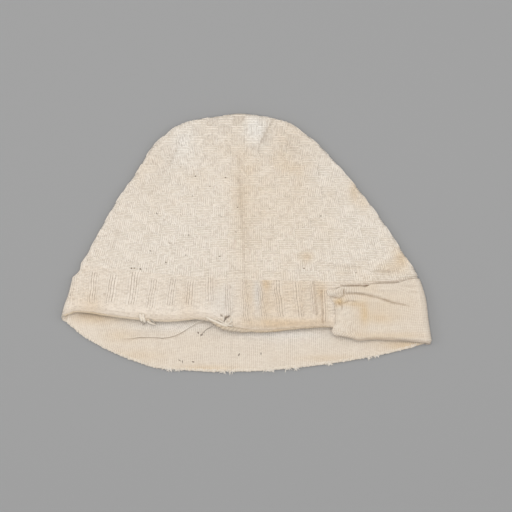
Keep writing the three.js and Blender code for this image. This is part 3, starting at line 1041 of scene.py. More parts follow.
@dataclass(frozen=True)
class KnitFinish:
    """Matt knitted cotton: its colours, its stitches and how strongly they show."""

    name: str
    pattern: Pattern
    base: ScreenColour
    soiled: ScreenColour
    bleached_and_lit: ScreenColour
    # The groove colour, towards which real dirt and painted shade darken the cloth, and how much
    # painted shade the relief's hollows take.
    groove: ScreenColour
    hollow_shade_share: float = 0.35
    stitch_depth: float = 0.00032
    mottle: float = 0.25
    roughness: float = 0.9

    def stitch_heights(
        self, recipe: Recipe, wale: bpy.types.NodeSocket, row: bpy.types.NodeSocket
    ) -> tuple[bpy.types.NodeSocket, bpy.types.NodeSocket]:
        """The relief of the two faces of a stitch.

        Args:
            recipe: the material.
            wale: stitch numbers.
            row: row numbers.

        Returns:
            Heights from 0 to 1 of the smooth face, a column of small Vs, and of the ridged back.
        """
        inside = recipe.math("FRACT", wale)
        off = recipe.math("ABSOLUTE", recipe.less(inside, 0.5))
        leg = recipe.math("SINE", recipe.times(off, 2 * math.pi))
        slanted = recipe.math("FRACT", recipe.plus(row, recipe.times(off, 1.3)))
        tip = recipe.math("SINE", recipe.times(slanted, math.pi))
        smooth_face = recipe.math(
            "MULTIPLY", recipe.math("POWER", leg, 0.7), recipe.math("MULTIPLY_ADD", tip, 0.5, 0.5)
        )
        swing = recipe.math("COSINE", recipe.times(inside, 2 * math.pi))
        bent = recipe.math("FRACT", recipe.math("MULTIPLY_ADD", swing, 0.16, row))
        ridge = recipe.math("SINE", recipe.times(bent, math.pi))
        dip = recipe.math("MULTIPLY_ADD", swing, 0.15, 0.85)
        return smooth_face, recipe.times(ridge, dip)

    def raised(
        self, recipe: Recipe, wale: bpy.types.NodeSocket, row: bpy.types.NodeSocket, gauge: Gauge
    ) -> object:
        """Where the smooth face shows.

        Args:
            recipe: the material.
            wale: stitch numbers.
            row: row numbers.
            gauge: the size of the blocks.

        Returns:
            1 where the smooth face shows, and 0 where the ridged back does.
        """
        if self.pattern is Pattern.PLAIN:
            return 1.0
        column = recipe.math("DIVIDE", wale, float(gauge.block_stitches))
        if self.pattern is Pattern.RIB:
            off = recipe.math("PINGPONG", column, 0.5)
            return recipe.math("LESS_THAN", off, 1.5 / gauge.block_stitches)
        level = recipe.math("DIVIDE", row, float(gauge.block_rows))
        both = recipe.plus(recipe.math("FLOOR", column), recipe.math("FLOOR", level))
        return recipe.less(1.0, recipe.math("FLOORED_MODULO", both, 2.0))

    def make(self, gauge: Gauge) -> bpy.types.Material:
        """Builds the material.

        Args:
            gauge: the size of the knit's blocks.

        Returns:
            The finished material.
        """
        recipe = Recipe(self.name)
        here = recipe.add("ShaderNodeTexCoord").outputs["Object"]
        wear = recipe.add("ShaderNodeVertexColor", layer_name="wear")
        tints = recipe.add("ShaderNodeSeparateColor")
        recipe.join(wear.outputs[0], tints.inputs[0])
        relief: object = 1.0
        if self.pattern is not Pattern.LOOPS:
            stitch_map = recipe.add("ShaderNodeUVMap", uv_map="stitches")
            split = recipe.add("ShaderNodeSeparateXYZ")
            recipe.join(stitch_map.outputs[0], split.inputs[0])
            wale, row = split.outputs[0], split.outputs[1]
            smooth_face, ridged_face = self.stitch_heights(recipe, wale, row)
            relief = recipe.blend(self.raised(recipe, wale, row, gauge), ridged_face, smooth_face)
        cloud = recipe.ramp(recipe.noise(here, 55.0, 4.0), 0.42, 0.72)
        wide_cloud = recipe.ramp(recipe.noise(here, 16.0, 3.0), 0.4, 0.7)
        soil = recipe.times(recipe.times(cloud, wide_cloud), self.mottle)
        stained = recipe.plus(soil, tints.outputs[0])
        colour = recipe.mix(stained, linear(*self.base), linear(*self.soiled))
        # Bleach, and the painted light carried by the same tint, mix towards this colour.
        colour = recipe.mix(tints.outputs[1], colour, linear(*self.bleached_and_lit))
        # Painted shade: the hollows of the stitch relief darken towards the groove colour, as do the
        # darkening tint's dirt and painted shade.
        hollow_shade = recipe.less(1.0, relief)
        hollow_shade = recipe.times(recipe.math("POWER", hollow_shade, 2.0), self.hollow_shade_share)
        groove = linear(*self.groove)
        colour = recipe.mix(recipe.plus(hollow_shade, tints.outputs[2]), colour, groove)
        fleck = recipe.ramp(recipe.noise(here, 900.0, 2.0), 0.3, 0.8)
        speck = recipe.times(fleck, 0.1)
        colour = recipe.mix(speck, colour, groove)
        fibre = recipe.math("MULTIPLY_ADD", recipe.noise(here, 2600.0, 3.0), 0.25, relief)
        bump = recipe.add("ShaderNodeBump")
        bump.inputs["Strength"].default_value = 1.0
        bump.inputs["Distance"].default_value = self.stitch_depth
        recipe.join(fibre, bump.inputs["Height"])
        shader = recipe.add("ShaderNodeBsdfPrincipled")
        recipe.join(colour, shader.inputs["Base Color"])
        recipe.join(bump.outputs[0], shader.inputs["Normal"])
        shader.inputs["Roughness"].default_value = self.roughness
        shader.inputs["Specular IOR Level"].default_value = 0.15
        shader.inputs["Sheen Weight"].default_value = 0.12
        shader.inputs["Sheen Roughness"].default_value = 0.6
        output = recipe.add("ShaderNodeOutputMaterial")
        recipe.join(shader.outputs[0], output.inputs[0])
        return recipe.material


BASKET_YARN = KnitFinish(
    "basket_yarn", Pattern.LOOPS, (232, 223, 211), (220, 196, 160),
    (240, 235, 227), (137, 111, 84), stitch_depth=0.0001,
)
RIB_YARN = KnitFinish(
    "rib_yarn", Pattern.LOOPS, (232, 222, 209), (217, 191, 154),
    (224, 222, 219), (136, 111, 83), stitch_depth=0.0001,
)
PLAIN_YARN = KnitFinish(
    "plain_yarn", Pattern.LOOPS, (223, 212, 197), (215, 190, 153),
    (235, 227, 217), (129, 103, 77), stitch_depth=0.0001,
)
LOOSE_YARN = KnitFinish(
    "loose_yarn", Pattern.LOOPS, (230, 219, 203), (200, 173, 136),
    (228, 223, 215), (75, 53, 33), stitch_depth=0.0001,
)
# The basket and rib grounds under the laid stitches are drawn darker than their yarns: partly the
# yarn's tone and partly painted shade in the gaps between stitches.
BASKET_GROUND = KnitFinish(
    "basket_ground", Pattern.BASKET, (216, 204, 187), (200, 174, 140),
    (217, 210, 199), (137, 115, 89), hollow_shade_share=0.12,
)
RIB_GROUND = KnitFinish(
    "rib_ground", Pattern.RIB, (216, 202, 184), (191, 162, 123),
    (205, 197, 185), (121, 96, 71), hollow_shade_share=0.15,
)
ROLLED_HEM = KnitFinish(
    "rolled_hem", Pattern.PLAIN, (222, 210, 193), (209, 183, 144),
    (216, 211, 203), (144, 121, 94), hollow_shade_share=0.25, stitch_depth=0.00025,
)
# Darker than the plain yarn laid over it: partly the yarn's tone and partly painted shade in the gaps
# between stitches.
PLAIN_KNIT = KnitFinish(
    "plain_knit", Pattern.PLAIN, (210, 195, 178), (197, 167, 129),
    (206, 199, 188), (138, 116, 90), hollow_shade_share=0.25, stitch_depth=0.0002,
)


def worn_and_shaded(
    place: np.ndarray, stains: Sequence[Stain], lines: Sequence[Crease] = (), strength: float = 1.0,
    sharpness: float = 1.0,
) -> np.ndarray:
    """Adds up stains, painted light among them, and the darkening along lines, which is painted shade
    along some of them.

    Args:
        place: points of the cloth.
        stains: the patches.
        lines: the creases whose darkening counts.
        strength: how strongly it counts.
        sharpness: above 1 for narrower lines.

    Returns:
        Soil, bleach and darkening for each place, in the last axis.
    """
    x, y = place[..., 0], place[..., 1]
    layers = np.zeros(x.shape + (3,))
    for stain in stains:
        layers[..., stain.tint.value] += stain.amount(x, y)
    for line in lines:
        layers[..., Tint.DIRT.value] += line.dirt * strength * line.amount(x, y, sharpness)
    return layers


def above_folds(place: np.ndarray) -> np.ndarray:
    """1 on the front layer and 0 on the back, with a soft change at the height of a fold's middle."""
    return smooth_step(place[..., 2], FRONT_FROM, FRONT_ABOVE)[..., None]


def finish_piece(
    piece: bpy.types.Object, material: bpy.types.Material, slot: str, *nodes: str
) -> None:
    """Dresses a piece and ties it to the frame.

    Args:
        piece: the finished mesh object.
        material: its material.
        slot: not used.
        nodes: the frame's nodes that it stands for.
    """
    piece.data.materials.clear()
    piece.data.materials.append(material)
    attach(piece, "root")
    if nodes:
        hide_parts(*nodes)
    log.info("%s: %d faces", piece.name, len(piece.data.polygons))


@dataclass(frozen=True)
class Cut:
    """The flat size of a piece of cloth: width, length and area."""

    width: float
    length: float
    area: float

    def declare(
        self, cloth: bpy.types.Object, rests_on: Sequence[str], on_it: Sequence[bpy.types.Object]
    ) -> None:
        """Takes a piece of cloth of this cut, and does nothing with it.

        Args:
            cloth: the piece; not used.
            rests_on: what it lies on; not used.
            on_it: the pieces that go with it; not used.
        """


@dataclass
class Crown:
    """The basket-knit bag above the band."""

    form: CapForm
    gauge: Gauge
    wall: float = 0.0016
    ground: float = 0.00045
    join_depth: float = 0.0002
    block_height: float = 0.00038
    # How far the right fold swells above the cuff, how high above the band, how long the swelling is
    # there, and the turns over which it rises and falls.
    bulge: float = 0.0011
    bulge_above: float = 0.003
    bulge_length: float = 0.006
    bulge_turns: tuple[tuple[float, float], ...] = ((0.25, 0.6), (1.0, 1.07))
    # The stretch below the top in which the blocks' relief fades out.
    top_fade: float = 0.012
    steps: tuple[int, int, int] = (170, 80, 8)
    rows: int = 96
    closing_rows: int = 14
    inner_rows: int = 20
    stitch_rows: int = 97
    # Painted shade on the ground between the wales of the raised blocks.
    between_wales_shade: float = 0.03
    eyelet_radius: float = 0.0007
    eyelet_size: tuple[float, float, float] = (0.0008, 0.0009, 0.0003)
    cut: Cut = Cut(0.515, 0.132, 0.046)
    # Small openings between the blocks.
    eyelets: tuple[tuple[float, float], ...] = (
        (-0.0483, 0.0556), (-0.0374, 0.0486), (-0.0149, 0.0475), (-0.0266, 0.0411),
        (-0.0396, 0.0340), (-0.0523, 0.0276), (-0.0062, 0.0254), (-0.0661, 0.0212),
        (-0.0182, 0.0187), (-0.0293, 0.0115), (-0.0072, 0.0073), (-0.0423, 0.0051),
        (-0.0565, -0.0010), (-0.0311, -0.0033), (-0.0710, -0.0066), (-0.0445, -0.0099),
        (-0.0194, -0.0107), (-0.0593, -0.0153), (-0.0326, -0.0176), (-0.0785, -0.0202),
        (0.0172, 0.0243), (0.0556, 0.0193), (0.0556, 0.0037), (0.0430, -0.0198),
        (0.0818, -0.0224), (-0.0085, 0.0906), (-0.1102, 0.0045), (-0.0852, -0.0197),
        (-0.0830, -0.0196), (-0.0808, -0.0198), (-0.0785, -0.0197), (-0.0740, -0.0199),
    )
    stains: tuple[Stain, ...] = (
        *spots(
            Tint.SOIL,
            (0.081, 0.038, 0.004, 0.009, 0.55), (0.088, 0.029, 0.004, 0.006, 0.35),
            (0.045, -0.011, 0.005, 0.004, 0.45), (0.116, -0.013, 0.006, 0.009, 0.55),
            (0.105, -0.020, 0.009, 0.005, 0.35), (0.030, 0.030, 0.030, 0.040, 0.15),
            (0.032, 0.056, 0.008, 0.006, 0.20), (0.026, 0.079, 0.016, 0.007, 0.06),
            (-0.002, 0.020, 0.009, 0.055, 0.22), (-0.045, 0.080, 0.006, 0.010, 0.20),
        ),
        *spots(
            Tint.BLEACH,
            (-0.046, 0.076, 0.011, 0.018, 0.85), (0.007, 0.085, 0.009, 0.012, 1.20),
            (0.063, 0.055, 0.014, 0.014, 0.40), (-0.060, 0.010, 0.040, 0.030, 0.20),
            (0.085, 0.010, 0.030, 0.030, 0.25),
        ),
    )

    def heights(self) -> np.ndarray:
        """Rises of the outer rows, closer together towards the top."""
        foot = self.form.band_height / self.form.body_length
        shoulder = 1 - self.form.top_round / self.form.body_length
        bend = np.cos(np.linspace(math.pi / 2, 0, self.closing_rows + 1))
        top = 1 - (1 - bend) * self.form.top_round / self.form.body_length
        return np.concatenate([np.linspace(foot, shoulder, self.rows - self.closing_rows), top[1:]])

    def sink(self, stitches: np.ndarray, turn: np.ndarray, rise: np.ndarray) -> np.ndarray:
        """How deep the ground lies under raised and sunk blocks."""
        height = self.form.body_length * rise
        eased = smooth_step(self.form.body_length - height, 0.0, self.top_fade)
        sunk = self.block_height * (1 - self.gauge.knit_share(stitches)) * eased
        joined = smooth_step(height, self.form.band_height, self.form.band_height + JOIN_EASE)
        rising, falling = self.bulge_turns
        fold = smooth_step(turn, *rising) * (1 - smooth_step(turn, *falling))
        off = (height - self.form.band_height - self.bulge_above) / self.bulge_length
        bulge = self.bulge * fold * joined * np.exp(-(off**2))
        return self.ground + sunk * joined + self.join_depth * (1 - joined) - bulge

    def dress(
        self, stitches: np.ndarray, turn: np.ndarray, rise: np.ndarray
    ) -> tuple[np.ndarray, np.ndarray]:
        """The ground under each stitch, and whether its smooth face shows."""
        size = np.array([self.gauge.block_stitches, self.gauge.block_rows])
        smooth = np.floor(stitches / size).sum(-1) % 2 == 0
        return self.sink(stitches, turn, rise) - STITCH_LIFT, smooth

    def wear(self, place: np.ndarray) -> np.ndarray:
        """Soil, bleach and darkening of the outer face, with painted shade along the cuff's upper
        edge.
        """
        layers = worn_and_shaded(place, self.stains, (*CROWN_CREASES, *CUFF_EDGE_SHADE), sharpness=CROWN_LINES)
        return layers * above_folds(place)

    def build(
        self, ground: bpy.types.Material, yarn: bpy.types.Material, shadow: bpy.types.Material
    ) -> None:
        """Makes the bag and its stitches.

        Args:
            ground: the finish between the stitches.
            yarn: the stitches' finish.
            shadow: the finish deep in the openings.
        """
        outer = self.heights()
        inner = np.append(outer[:: len(outer) // self.inner_rows][:-1], 1.0)[::-1]
        turn, rise, depth = cloth_grid(self.steps, outer, inner, 0.0, self.wall)
        inside = depth > 0
        stitches = self.gauge.stitches(turn, rise)
        sunk = self.sink(stitches, turn, rise)
        points = self.form.points(turn, rise, np.where(inside, depth, sunk))
        wear = self.wear(points)
        # Painted shade between the wales of the raised blocks.
        wear[..., Tint.DIRT.value] += self.between_wales_shade * self.gauge.knit_share(stitches)
        piece = Sheet("crown_cloth", points, stitches, wear * ~inside[..., None]).build()
        finish_piece(piece, ground, "basket_knit", "crown")
        self.cut.declare(piece, [], self.knit(yarn, shadow))

    def knit(self, yarn: bpy.types.Material, shadow: bpy.types.Material) -> list[bpy.types.Object]:
        """Lays the crown's stitches, in four pieces, and paints shade into its openings as small dark
        strands.

        Args:
            yarn: their finish.
            shadow: the finish deep in the openings.

        Returns:
            The pieces.
        """
        rows = KnitRows(self.form, self.gauge, unevenness=0.22)
        laid = rows.lay(range(0, self.stitch_rows), self.gauge.stitches, self.dress, self.wear)
        front = laid.in_front
        left = laid.places[:, 0] < self.gauge.fan_middle
        holes = np.array(self.eyelets)
        away = np.linalg.norm(laid.places[:, None, :2] - holes[None], axis=-1).min(1)
        kept = ~(front & (away < self.eyelet_radius))
        parts = (
            ("crown_stitches_left", front & left),
            ("crown_stitches_right", front & ~left),
            ("crown_stitches_back_left", ~front & left),
            ("crown_stitches_back_right", ~front & ~left),
        )
        made = [
            rows.knit(name, laid.pick(chosen & kept), yarn, "basket_knit") for name, chosen in parts
        ]
        # Painted shade: a small dark strand on each eyelet, so that its opening reads dark.
        off = np.linalg.norm(laid.places[:, None, :2] - holes[None], axis=-1) + 1.0 * ~front[:, None]
        dots = laid.pick(off.argmin(0))
        dots.places[:, :2] = holes
        dots.sizes = np.tile(self.eyelet_size, (len(holes), 1))
        dots.smooth = np.zeros(len(holes), bool)
        dots.wear[:, Tint.DIRT.value] = HOLE_SHADE
        return [*made, rows.knit("crown_eyelets", dots, shadow, "basket_knit")]


@dataclass
class RibBand:
    """The ribbed band, with its plain border and the tear above the loose stretch of hem."""

    form: CapForm
    gauge: Gauge
    wall: float = 0.0016
    ground: float = 0.00045
    join_depth: float = 0.0002
    rib_depth: float = 0.00018
    border_left: float = 0.009
    border_right: float = 0.0045
    steps: tuple[int, int, int] = (300, 130, 8)
    rows: int = 24
    inner_rows: int = 7
    rib_wales: int = 3
    # Ribs counted on beyond the chart's ends.
    spare_ribs: int = 3
    sway: float = 0.0004
    sway_length: float = 0.014
    rib_end: float = 0.0008
    border_depth: float = 0.0001
    border_ease: float = 0.001
    # The dirt of the border's stitches below this height, and of the ribs' stitches.
    border_line: float = 0.004
    border_dirt: float = 0.12
    rib_dirt: float = 0.02
    cut: Cut = Cut(0.555, 0.044, 0.0235)
    lip: float = 0.0006
    hole: tuple[float, float] = (-0.0152, -0.0572)
    hole_size: tuple[float, float] = (0.0015, 0.0026)
    cuff_left: float = 0.50
    # Up to this height, no stitches are laid under the cuff.
    cuff_cover: float = 0.031
    # Painted shade on the ground between the wales of the ribs.
    between_wales_shade: float = 0.4
    # Each rib's middle at the top of the band and at its foot, and where in plan it starts and ends.
    ribs: tuple[tuple[float, float, float, float], ...] = (
        (-0.1125, -0.1160, -0.0232, -0.0441),
        (-0.0985, -0.1045, -0.0247, -0.0448),
        (-0.0820, -0.0870, -0.0226, -0.0456),
        (-0.0670, -0.0740, -0.0284, -0.0486),
        (-0.0535, -0.0590, -0.0277, -0.0463),
        (-0.0405, -0.0445, -0.0291, -0.0463),
        (-0.0260, -0.0260, -0.0250, -0.0433),
        (-0.0138, -0.0125, -0.0314, -0.0546),
        (-0.0008, 0.0004, -0.0269, -0.0660),
        (0.0085, 0.0160, -0.0314, -0.0568),
        (0.0222, 0.0275, -0.0284, -0.0546),
        (0.0385, 0.0430, -0.0306, -0.0553),
        (0.0495, 0.0535, -0.0284, -0.0531),
        (0.0565, 0.0582, -0.0359, -0.0598),
        (0.0700, 0.0725, -0.0284, -0.0531),
        (0.0850, 0.0885, -0.0284, -0.0531),
        (0.1005, 0.1045, -0.0284, -0.0531),
        (0.1160, 0.1205, -0.0284, -0.0531),
    )
    # The torn place's dark arms, painted shade in its openings.
    tears: tuple[Crease, ...] = creases(
        (-0.0120, -0.0547, -0.0158, -0.0574, 0.0006, 0.0, 1.0),
        (-0.0157, -0.0568, -0.0160, -0.0606, 0.0006, 0.0, 1.0),
        (-0.0190, -0.0540, -0.0170, -0.0556, 0.0005, 0.0, 0.7),
    )
    stains: tuple[Stain, ...] = (
        *spots(
            Tint.SOIL,
            (0.006, -0.040, 0.012, 0.016, 0.22), (0.024, -0.046, 0.014, 0.016, 0.24),
            (0.042, -0.040, 0.010, 0.016, 0.18), (0.0145, -0.0310, 0.0035, 0.0045, 0.5),
            (0.056, -0.037, 0.004, 0.006, 0.42), (0.030, -0.061, 0.032, 0.004, 0.55),
            (0.057, -0.050, 0.006, 0.012, 0.28), (-0.044, -0.043, 0.006, 0.010, 0.20),
            (-0.118, -0.048, 0.012, 0.010, 0.25), (-0.060, -0.058, 0.060, 0.004, 0.15),
        ),
        *spots(
            Tint.BLEACH,
            (0.0085, -0.040, 0.0035, 0.016, 0.60), (-0.018, -0.046, 0.010, 0.014, 0.30),
        ),
    )

    def numbers(self, turn: np.ndarray, rise: np.ndarray) -> np.ndarray:
        """Numbers the stitches so that each charted rib is a multiple of the block width.

        Args:
            turn: grid of turns that starts and ends at the middle of the back.
            rise: grid of rises.

        Returns:
            Stitch and row for each place, in the last axis.
        """
        plain = self.gauge.stitches(turn, rise)
        place = self.form.points(turn, rise, 0.0)
        share = np.clip(rise * self.form.body_length / self.form.band_height, 0, 1)
        chart = np.array(self.ribs)
        numbers = self.gauge.block_stitches * (np.arange(len(chart)) - len(chart) // 2)
        wale = plain[..., 0].copy()
        first, last = front_span(turn)
        period = self.gauge.block_stitches * self.gauge.pitch(np.array(self.form.rim_line))
        sway = SoftWaves(self.sway_length, 23)
        beyond = np.arange(1, self.spare_ribs + 1)
        step = self.gauge.block_stitches * beyond
        values = np.concatenate([numbers[0] - step[::-1], numbers, numbers[-1] + step])
        for k in range(turn.shape[1]):
            middles = chart[:, 1] + (chart[:, 0] - chart[:, 1]) * share[0, k]
            level = np.full(len(chart), self.form.band_height * share[0, k])
            middles = middles + self.sway * sway(middles, level)
            before, after = middles[0] - period * beyond[::-1], middles[-1] + period * beyond
            places = np.concatenate([before, middles, after])
            charted = np.interp(place[first : last + 1, k, 0], places, values)
            wale[:first, k] += charted[0] - wale[first, k]
            wale[last + 1 :, k] += charted[-1] - wale[last, k]
            wale[first : last + 1, k] = charted
        return np.stack([wale, plain[..., 1]], -1)

    def sink(self, stitches: np.ndarray, turn: np.ndarray, height: np.ndarray) -> np.ndarray:
        """How deep the face lies between ribs and between the wales of a rib.

        Args:
            stitches: stitch and row for each place.
            turn: turns.
            height: heights above the rim.

        Returns:
            The depth of each place below the ribs' tops.
        """
        beside = 1 - self.on_rib(stitches, turn, height)
        border = self.border(turn)
        inside = smooth_step(height, border, border + JOIN_EASE)
        joined = smooth_step(height, self.form.band_height - JOIN_EASE, self.form.band_height)
        ribbed = self.rib_depth * beside * inside + self.border_depth * (1 - inside)
        return self.ground + ribbed * (1 - joined) + self.join_depth * joined

    def on_rib(self, stitches: np.ndarray, turn: np.ndarray, height: np.ndarray) -> np.ndarray:
        """Where the ribs stand.

        Args:
            stitches: stitch and row for each place.
            turn: turns.
            height: heights above the rim.

        Returns:
            1 on a rib and 0 off it, with soft edges. It is plain under the cuff.
        """
        wale = stitches[..., 0] / self.gauge.block_stitches
        off = np.abs(wale - np.round(wale)) * self.gauge.block_stitches
        rib = np.clip(np.round(wale).astype(int) + len(self.ribs) // 2, 0, len(self.ribs) - 1)
        ends = np.array(self.ribs)[rib, 2:]
        charted = np.abs(wale) < len(self.ribs) // 2 + 0.5
        y = self.form.points(turn, height / self.form.body_length, 0.0)[..., 1]
        along = charted * smooth_step(y, ends[..., 1] - self.rib_end, ends[..., 1])
        along = along * (1 - smooth_step(y, ends[..., 0], ends[..., 0] + self.rib_end))
        half = self.rib_wales / 2
        amount = (1 - smooth_step(off, half - 0.1, half + 0.4)) * np.where(on_front(turn), along, 1)
        return np.where((turn > 0.3) & (turn < (3 - self.cuff_left) / 2), 0, amount)

    def border(self, turn: np.ndarray) -> np.ndarray:
        """The height of the plain border at each turn."""
        share = (self.form.across(turn) + 1) / 2
        return self.border_left + (self.border_right - self.border_left) * share

    def dress(
        self, stitches: np.ndarray, turn: np.ndarray, rise: np.ndarray
    ) -> tuple[np.ndarray, np.ndarray]:
        """The ground under each stitch, and whether its smooth face shows."""
        height = rise * self.form.body_length
        smooth = (self.on_rib(stitches, turn, height) > 0.5) & (height > self.border(turn))
        return self.sink(stitches, turn, height) - STITCH_LIFT, smooth

    def wear(self, place: np.ndarray) -> np.ndarray:
        """Soil, bleach and darkening of the outer face, with painted shade in the tear and along the
        cuff's upper edge.
        """
        return worn_and_shaded(place, self.stains, (*self.tears, *CUFF_EDGE_SHADE)) * above_folds(place)

    def knit(self, yarn: bpy.types.Material) -> list[bpy.types.Object]:
        """Lays the band's stitches, in two pieces.

        Args:
            yarn: their finish.

        Returns:
            The pieces.
        """
        rows = KnitRows(self.form, self.gauge, seed=9)
        count = int(self.form.band_height / self.gauge.row)
        laid = rows.lay(range(-count, 0), self.numbers, self.dress, self.wear)
        front = laid.in_front
        height = laid.places[:, 1] - self.form.points(laid.turns, 0.0, 0.0)[:, 1]
        laid.wear[front & (height < self.border_line), Tint.DIRT.value] += self.border_dirt
        laid.wear[laid.smooth, Tint.DIRT.value] += self.rib_dirt
        off = (laid.places[:, :2] - np.array(self.hole)) / np.array(self.hole_size)
        torn = front & (np.linalg.norm(off, axis=1) < 1)
        covered = (laid.turns > 0.4) & (laid.turns < 1.5) & (height < self.cuff_cover)
        covered &= self.form.across(laid.turns) > self.cuff_left + 0.02
        kept = ~torn & ~covered
        return [
            rows.knit("band_stitches_front", laid.pick(front & kept), yarn, "rib_knit"),
            rows.knit("band_stitches_back", laid.pick(~front & kept), yarn, "rib_knit"),
        ]

    def build(
        self, ground: bpy.types.Material, yarn: bpy.types.Material, on_it: Sequence[bpy.types.Object]
    ) -> None:
        """Makes the band and its stitches.

        Args:
            ground: the finish between the stitches.
            yarn: the stitches' finish.
            on_it: the hem, the marks and the threads that go with the band.
        """
        low, top = -self.lip / self.form.body_length, self.form.band_height / self.form.body_length
        outer, inner = np.linspace(low, top, self.rows), np.linspace(top, low, self.inner_rows)
        turn, rise, depth = cloth_grid(self.steps, outer, inner, 0.0, self.wall)
        inside = depth > 0
        stitches = self.numbers(turn, rise)
        sunk = self.sink(stitches, turn, rise * self.form.body_length)
        points = self.form.points(turn, rise, np.where(inside, depth, sunk))
        layers = self.wear(points)
        ribs = self.on_rib(stitches, turn, rise * self.form.body_length)
        border = self.border(turn)
        above = smooth_step(rise * self.form.body_length, border, border + self.border_ease)
        # Painted shade between the wales of the ribs, above the border.
        layers[..., Tint.DIRT.value] += self.between_wales_shade * ribs * above
        piece = Sheet("band_cloth", points, stitches, layers * ~inside[..., None]).build()
        finish_piece(piece, ground, "rib_knit", "rib_band")
        self.cut.declare(piece, [], [*self.knit(yarn), *on_it])


@dataclass
class Facing:
    """The plain inside layer, which shows on the back below the front rim."""

    form: CapForm
    gauge: Gauge
    height: float = 0.0415
    depth: float = 0.0019
    wall: float = 0.001
    stitch: float = 0.00145
    row: float = 0.0011
    steps: tuple[int, int, int] = (120, 200, 8)
    rows: int = 40
    outer_rows: int = 8
    yarn: float = 0.0004
    ground: float = 0.0002
    seen_height: float = 0.0345
    seen_steps: tuple[int, int] = (400, 80)
    wrinkle_length: float = 0.016
    wrinkle_height: float = 0.00022
    cut: Cut = Cut(0.545, 0.0415, 0.0222)
    tuck_steps: int = 120
    tuck_end: float = 0.022
    tuck_sink: float = 0.0006
    # The rows of the section that show from above, and the ones under the fold, darkened as painted
    # shade.
    tuck_upper: tuple[int, int] = (6, 0)
    tuck_under: range = range(9, 12)
    tuck_under_shade: float = 0.35
    # Where the shade below the fold begins and where it ends, from its edge downwards.
    tuck_shade: tuple[tuple[float, float], ...] = ((-0.0002, 0.0003), (0.0004, 0.0022))
    tuck_shade_dirt: float = 0.2
    tuck_line: tuple[tuple[float, float], ...] = (
        (-0.0925, -0.0722), (-0.0860, -0.0720), (-0.0790, -0.0712), (-0.0700, -0.0711),
        (-0.0620, -0.0716), (-0.0555, -0.0706), (-0.0493, -0.0681), (-0.0418, -0.0635),
        (-0.0344, -0.0598), (-0.0254, -0.0587),
    )
    # The fold's section: how far up the cloth, and how high above it.
    tuck_section: tuple[tuple[float, float], ...] = (
        (0.0090, -0.0018), (0.0065, -0.0004), (0.0045, 0.0004), (0.0028, 0.0010),
        (0.0015, 0.0014), (0.0006, 0.0016), (0.0000, 0.0015), (-0.0004, 0.0012),
        (-0.0004, 0.0008), (0.0000, 0.0004), (0.0006, 0.0001), (0.0016, -0.0003),
        (0.0050, -0.0005),
    )
    stains: tuple[Stain, ...] = (
        *spots(
            Tint.SOIL,
            (0.120, -0.0775, 0.016, 0.004, 0.60), (-0.082, -0.085, 0.022, 0.005, 0.28),
            (-0.030, -0.095, 0.022, 0.003, 0.45), (0.060, -0.087, 0.022, 0.003, 0.30),
            (-0.112, -0.057, 0.018, 0.005, 0.50), (-0.094, -0.070, 0.014, 0.006, 0.30),
        ),
        # The three long pale strips below the front hem are painted light that lifts the shade under
        # it; the spot at the left corner is a painted highlight on the rim's edge.
        *spots(
            Tint.BLEACH,
            (0.030, -0.072, 0.032, 0.006, 0.45), (-0.056, -0.063, 0.034, 0.004, 0.90),
            (0.026, -0.069, 0.036, 0.003, 0.80), (-0.1345, -0.0590, 0.0040, 0.0080, 0.30),
        ),
        # A thin dark line, and two patches of painted shade in the gap under the left end of the front
        # rim.
        *spots(
            Tint.DIRT,
            (-0.0108, -0.083, 0.0005, 0.020, 0.12), (-0.1180, -0.0535, 0.0120, 0.0036, 0.45),
            (-0.0920, -0.0560, 0.0170, 0.0030, 0.06),
        ),
    )

    def wear(self, place: np.ndarray) -> np.ndarray:
        """Soil, bleach and darkening of the face that shows, with painted light under the front hem, a
        painted highlight and painted shade at the left corner, and the shade below the fold.
        """
        layers = worn_and_shaded(place, self.stains)
        line = np.array(self.tuck_line)
        drop = np.interp(place[..., 0], line[:, 0], line[:, 1], left=1.0, right=1.0) - place[..., 1]
        near, far = self.tuck_shade
        shade = smooth_step(drop, *near) * (1 - smooth_step(drop, *far))
        layers[..., Tint.DIRT.value] += self.tuck_shade_dirt * shade
        return layers

    def wrinkles(self, x: np.ndarray, y: np.ndarray) -> np.ndarray:
        """The height of the facing's soft wrinkles."""
        return SoftWaves(self.wrinkle_length, 5)(x, y) * self.wrinkle_height

    def lip(self, material: bpy.types.Material, yarn: bpy.types.Material) -> list[bpy.types.Object]:
        """The loose fold across the back: cloth that rises and doubles under itself.

        Args:
            material: the finish between the stitches.
            yarn: the stitches' finish.

        Returns:
            The fold and its stitches.
        """
        line = np.array(self.tuck_line)
        lengths = lengths_along(line)
        place = np.linspace(0, lengths[-1], self.tuck_steps)
        x, y = Course(lengths, line[:, 0])(place), Course(lengths, line[:, 1])(place)
        way = np.stack([np.gradient(x), np.gradient(y)], -1)
        way /= np.linalg.norm(way, axis=1, keepdims=True)
        ends = np.minimum(place, lengths[-1] - place)
        size = CapForm.rounded_end(ends, self.tuck_end) * (1 + 0.12 * SoftWaves(0.012, 17)(x, y))
        section = np.array(self.tuck_section)
        out = section[None, :, 0] * (0.35 + 0.65 * size[:, None])
        high = section[None, :, 1] * size[:, None] - self.tuck_sink * (1 - size[:, None])
        surface = self.depth + self.wall - self.ground
        points = np.stack(
            [x[:, None] - way[:, 1:2] * out, y[:, None] + way[:, :1] * out, surface + high], -1
        )
        layers = worn_and_shaded(points, self.stains)
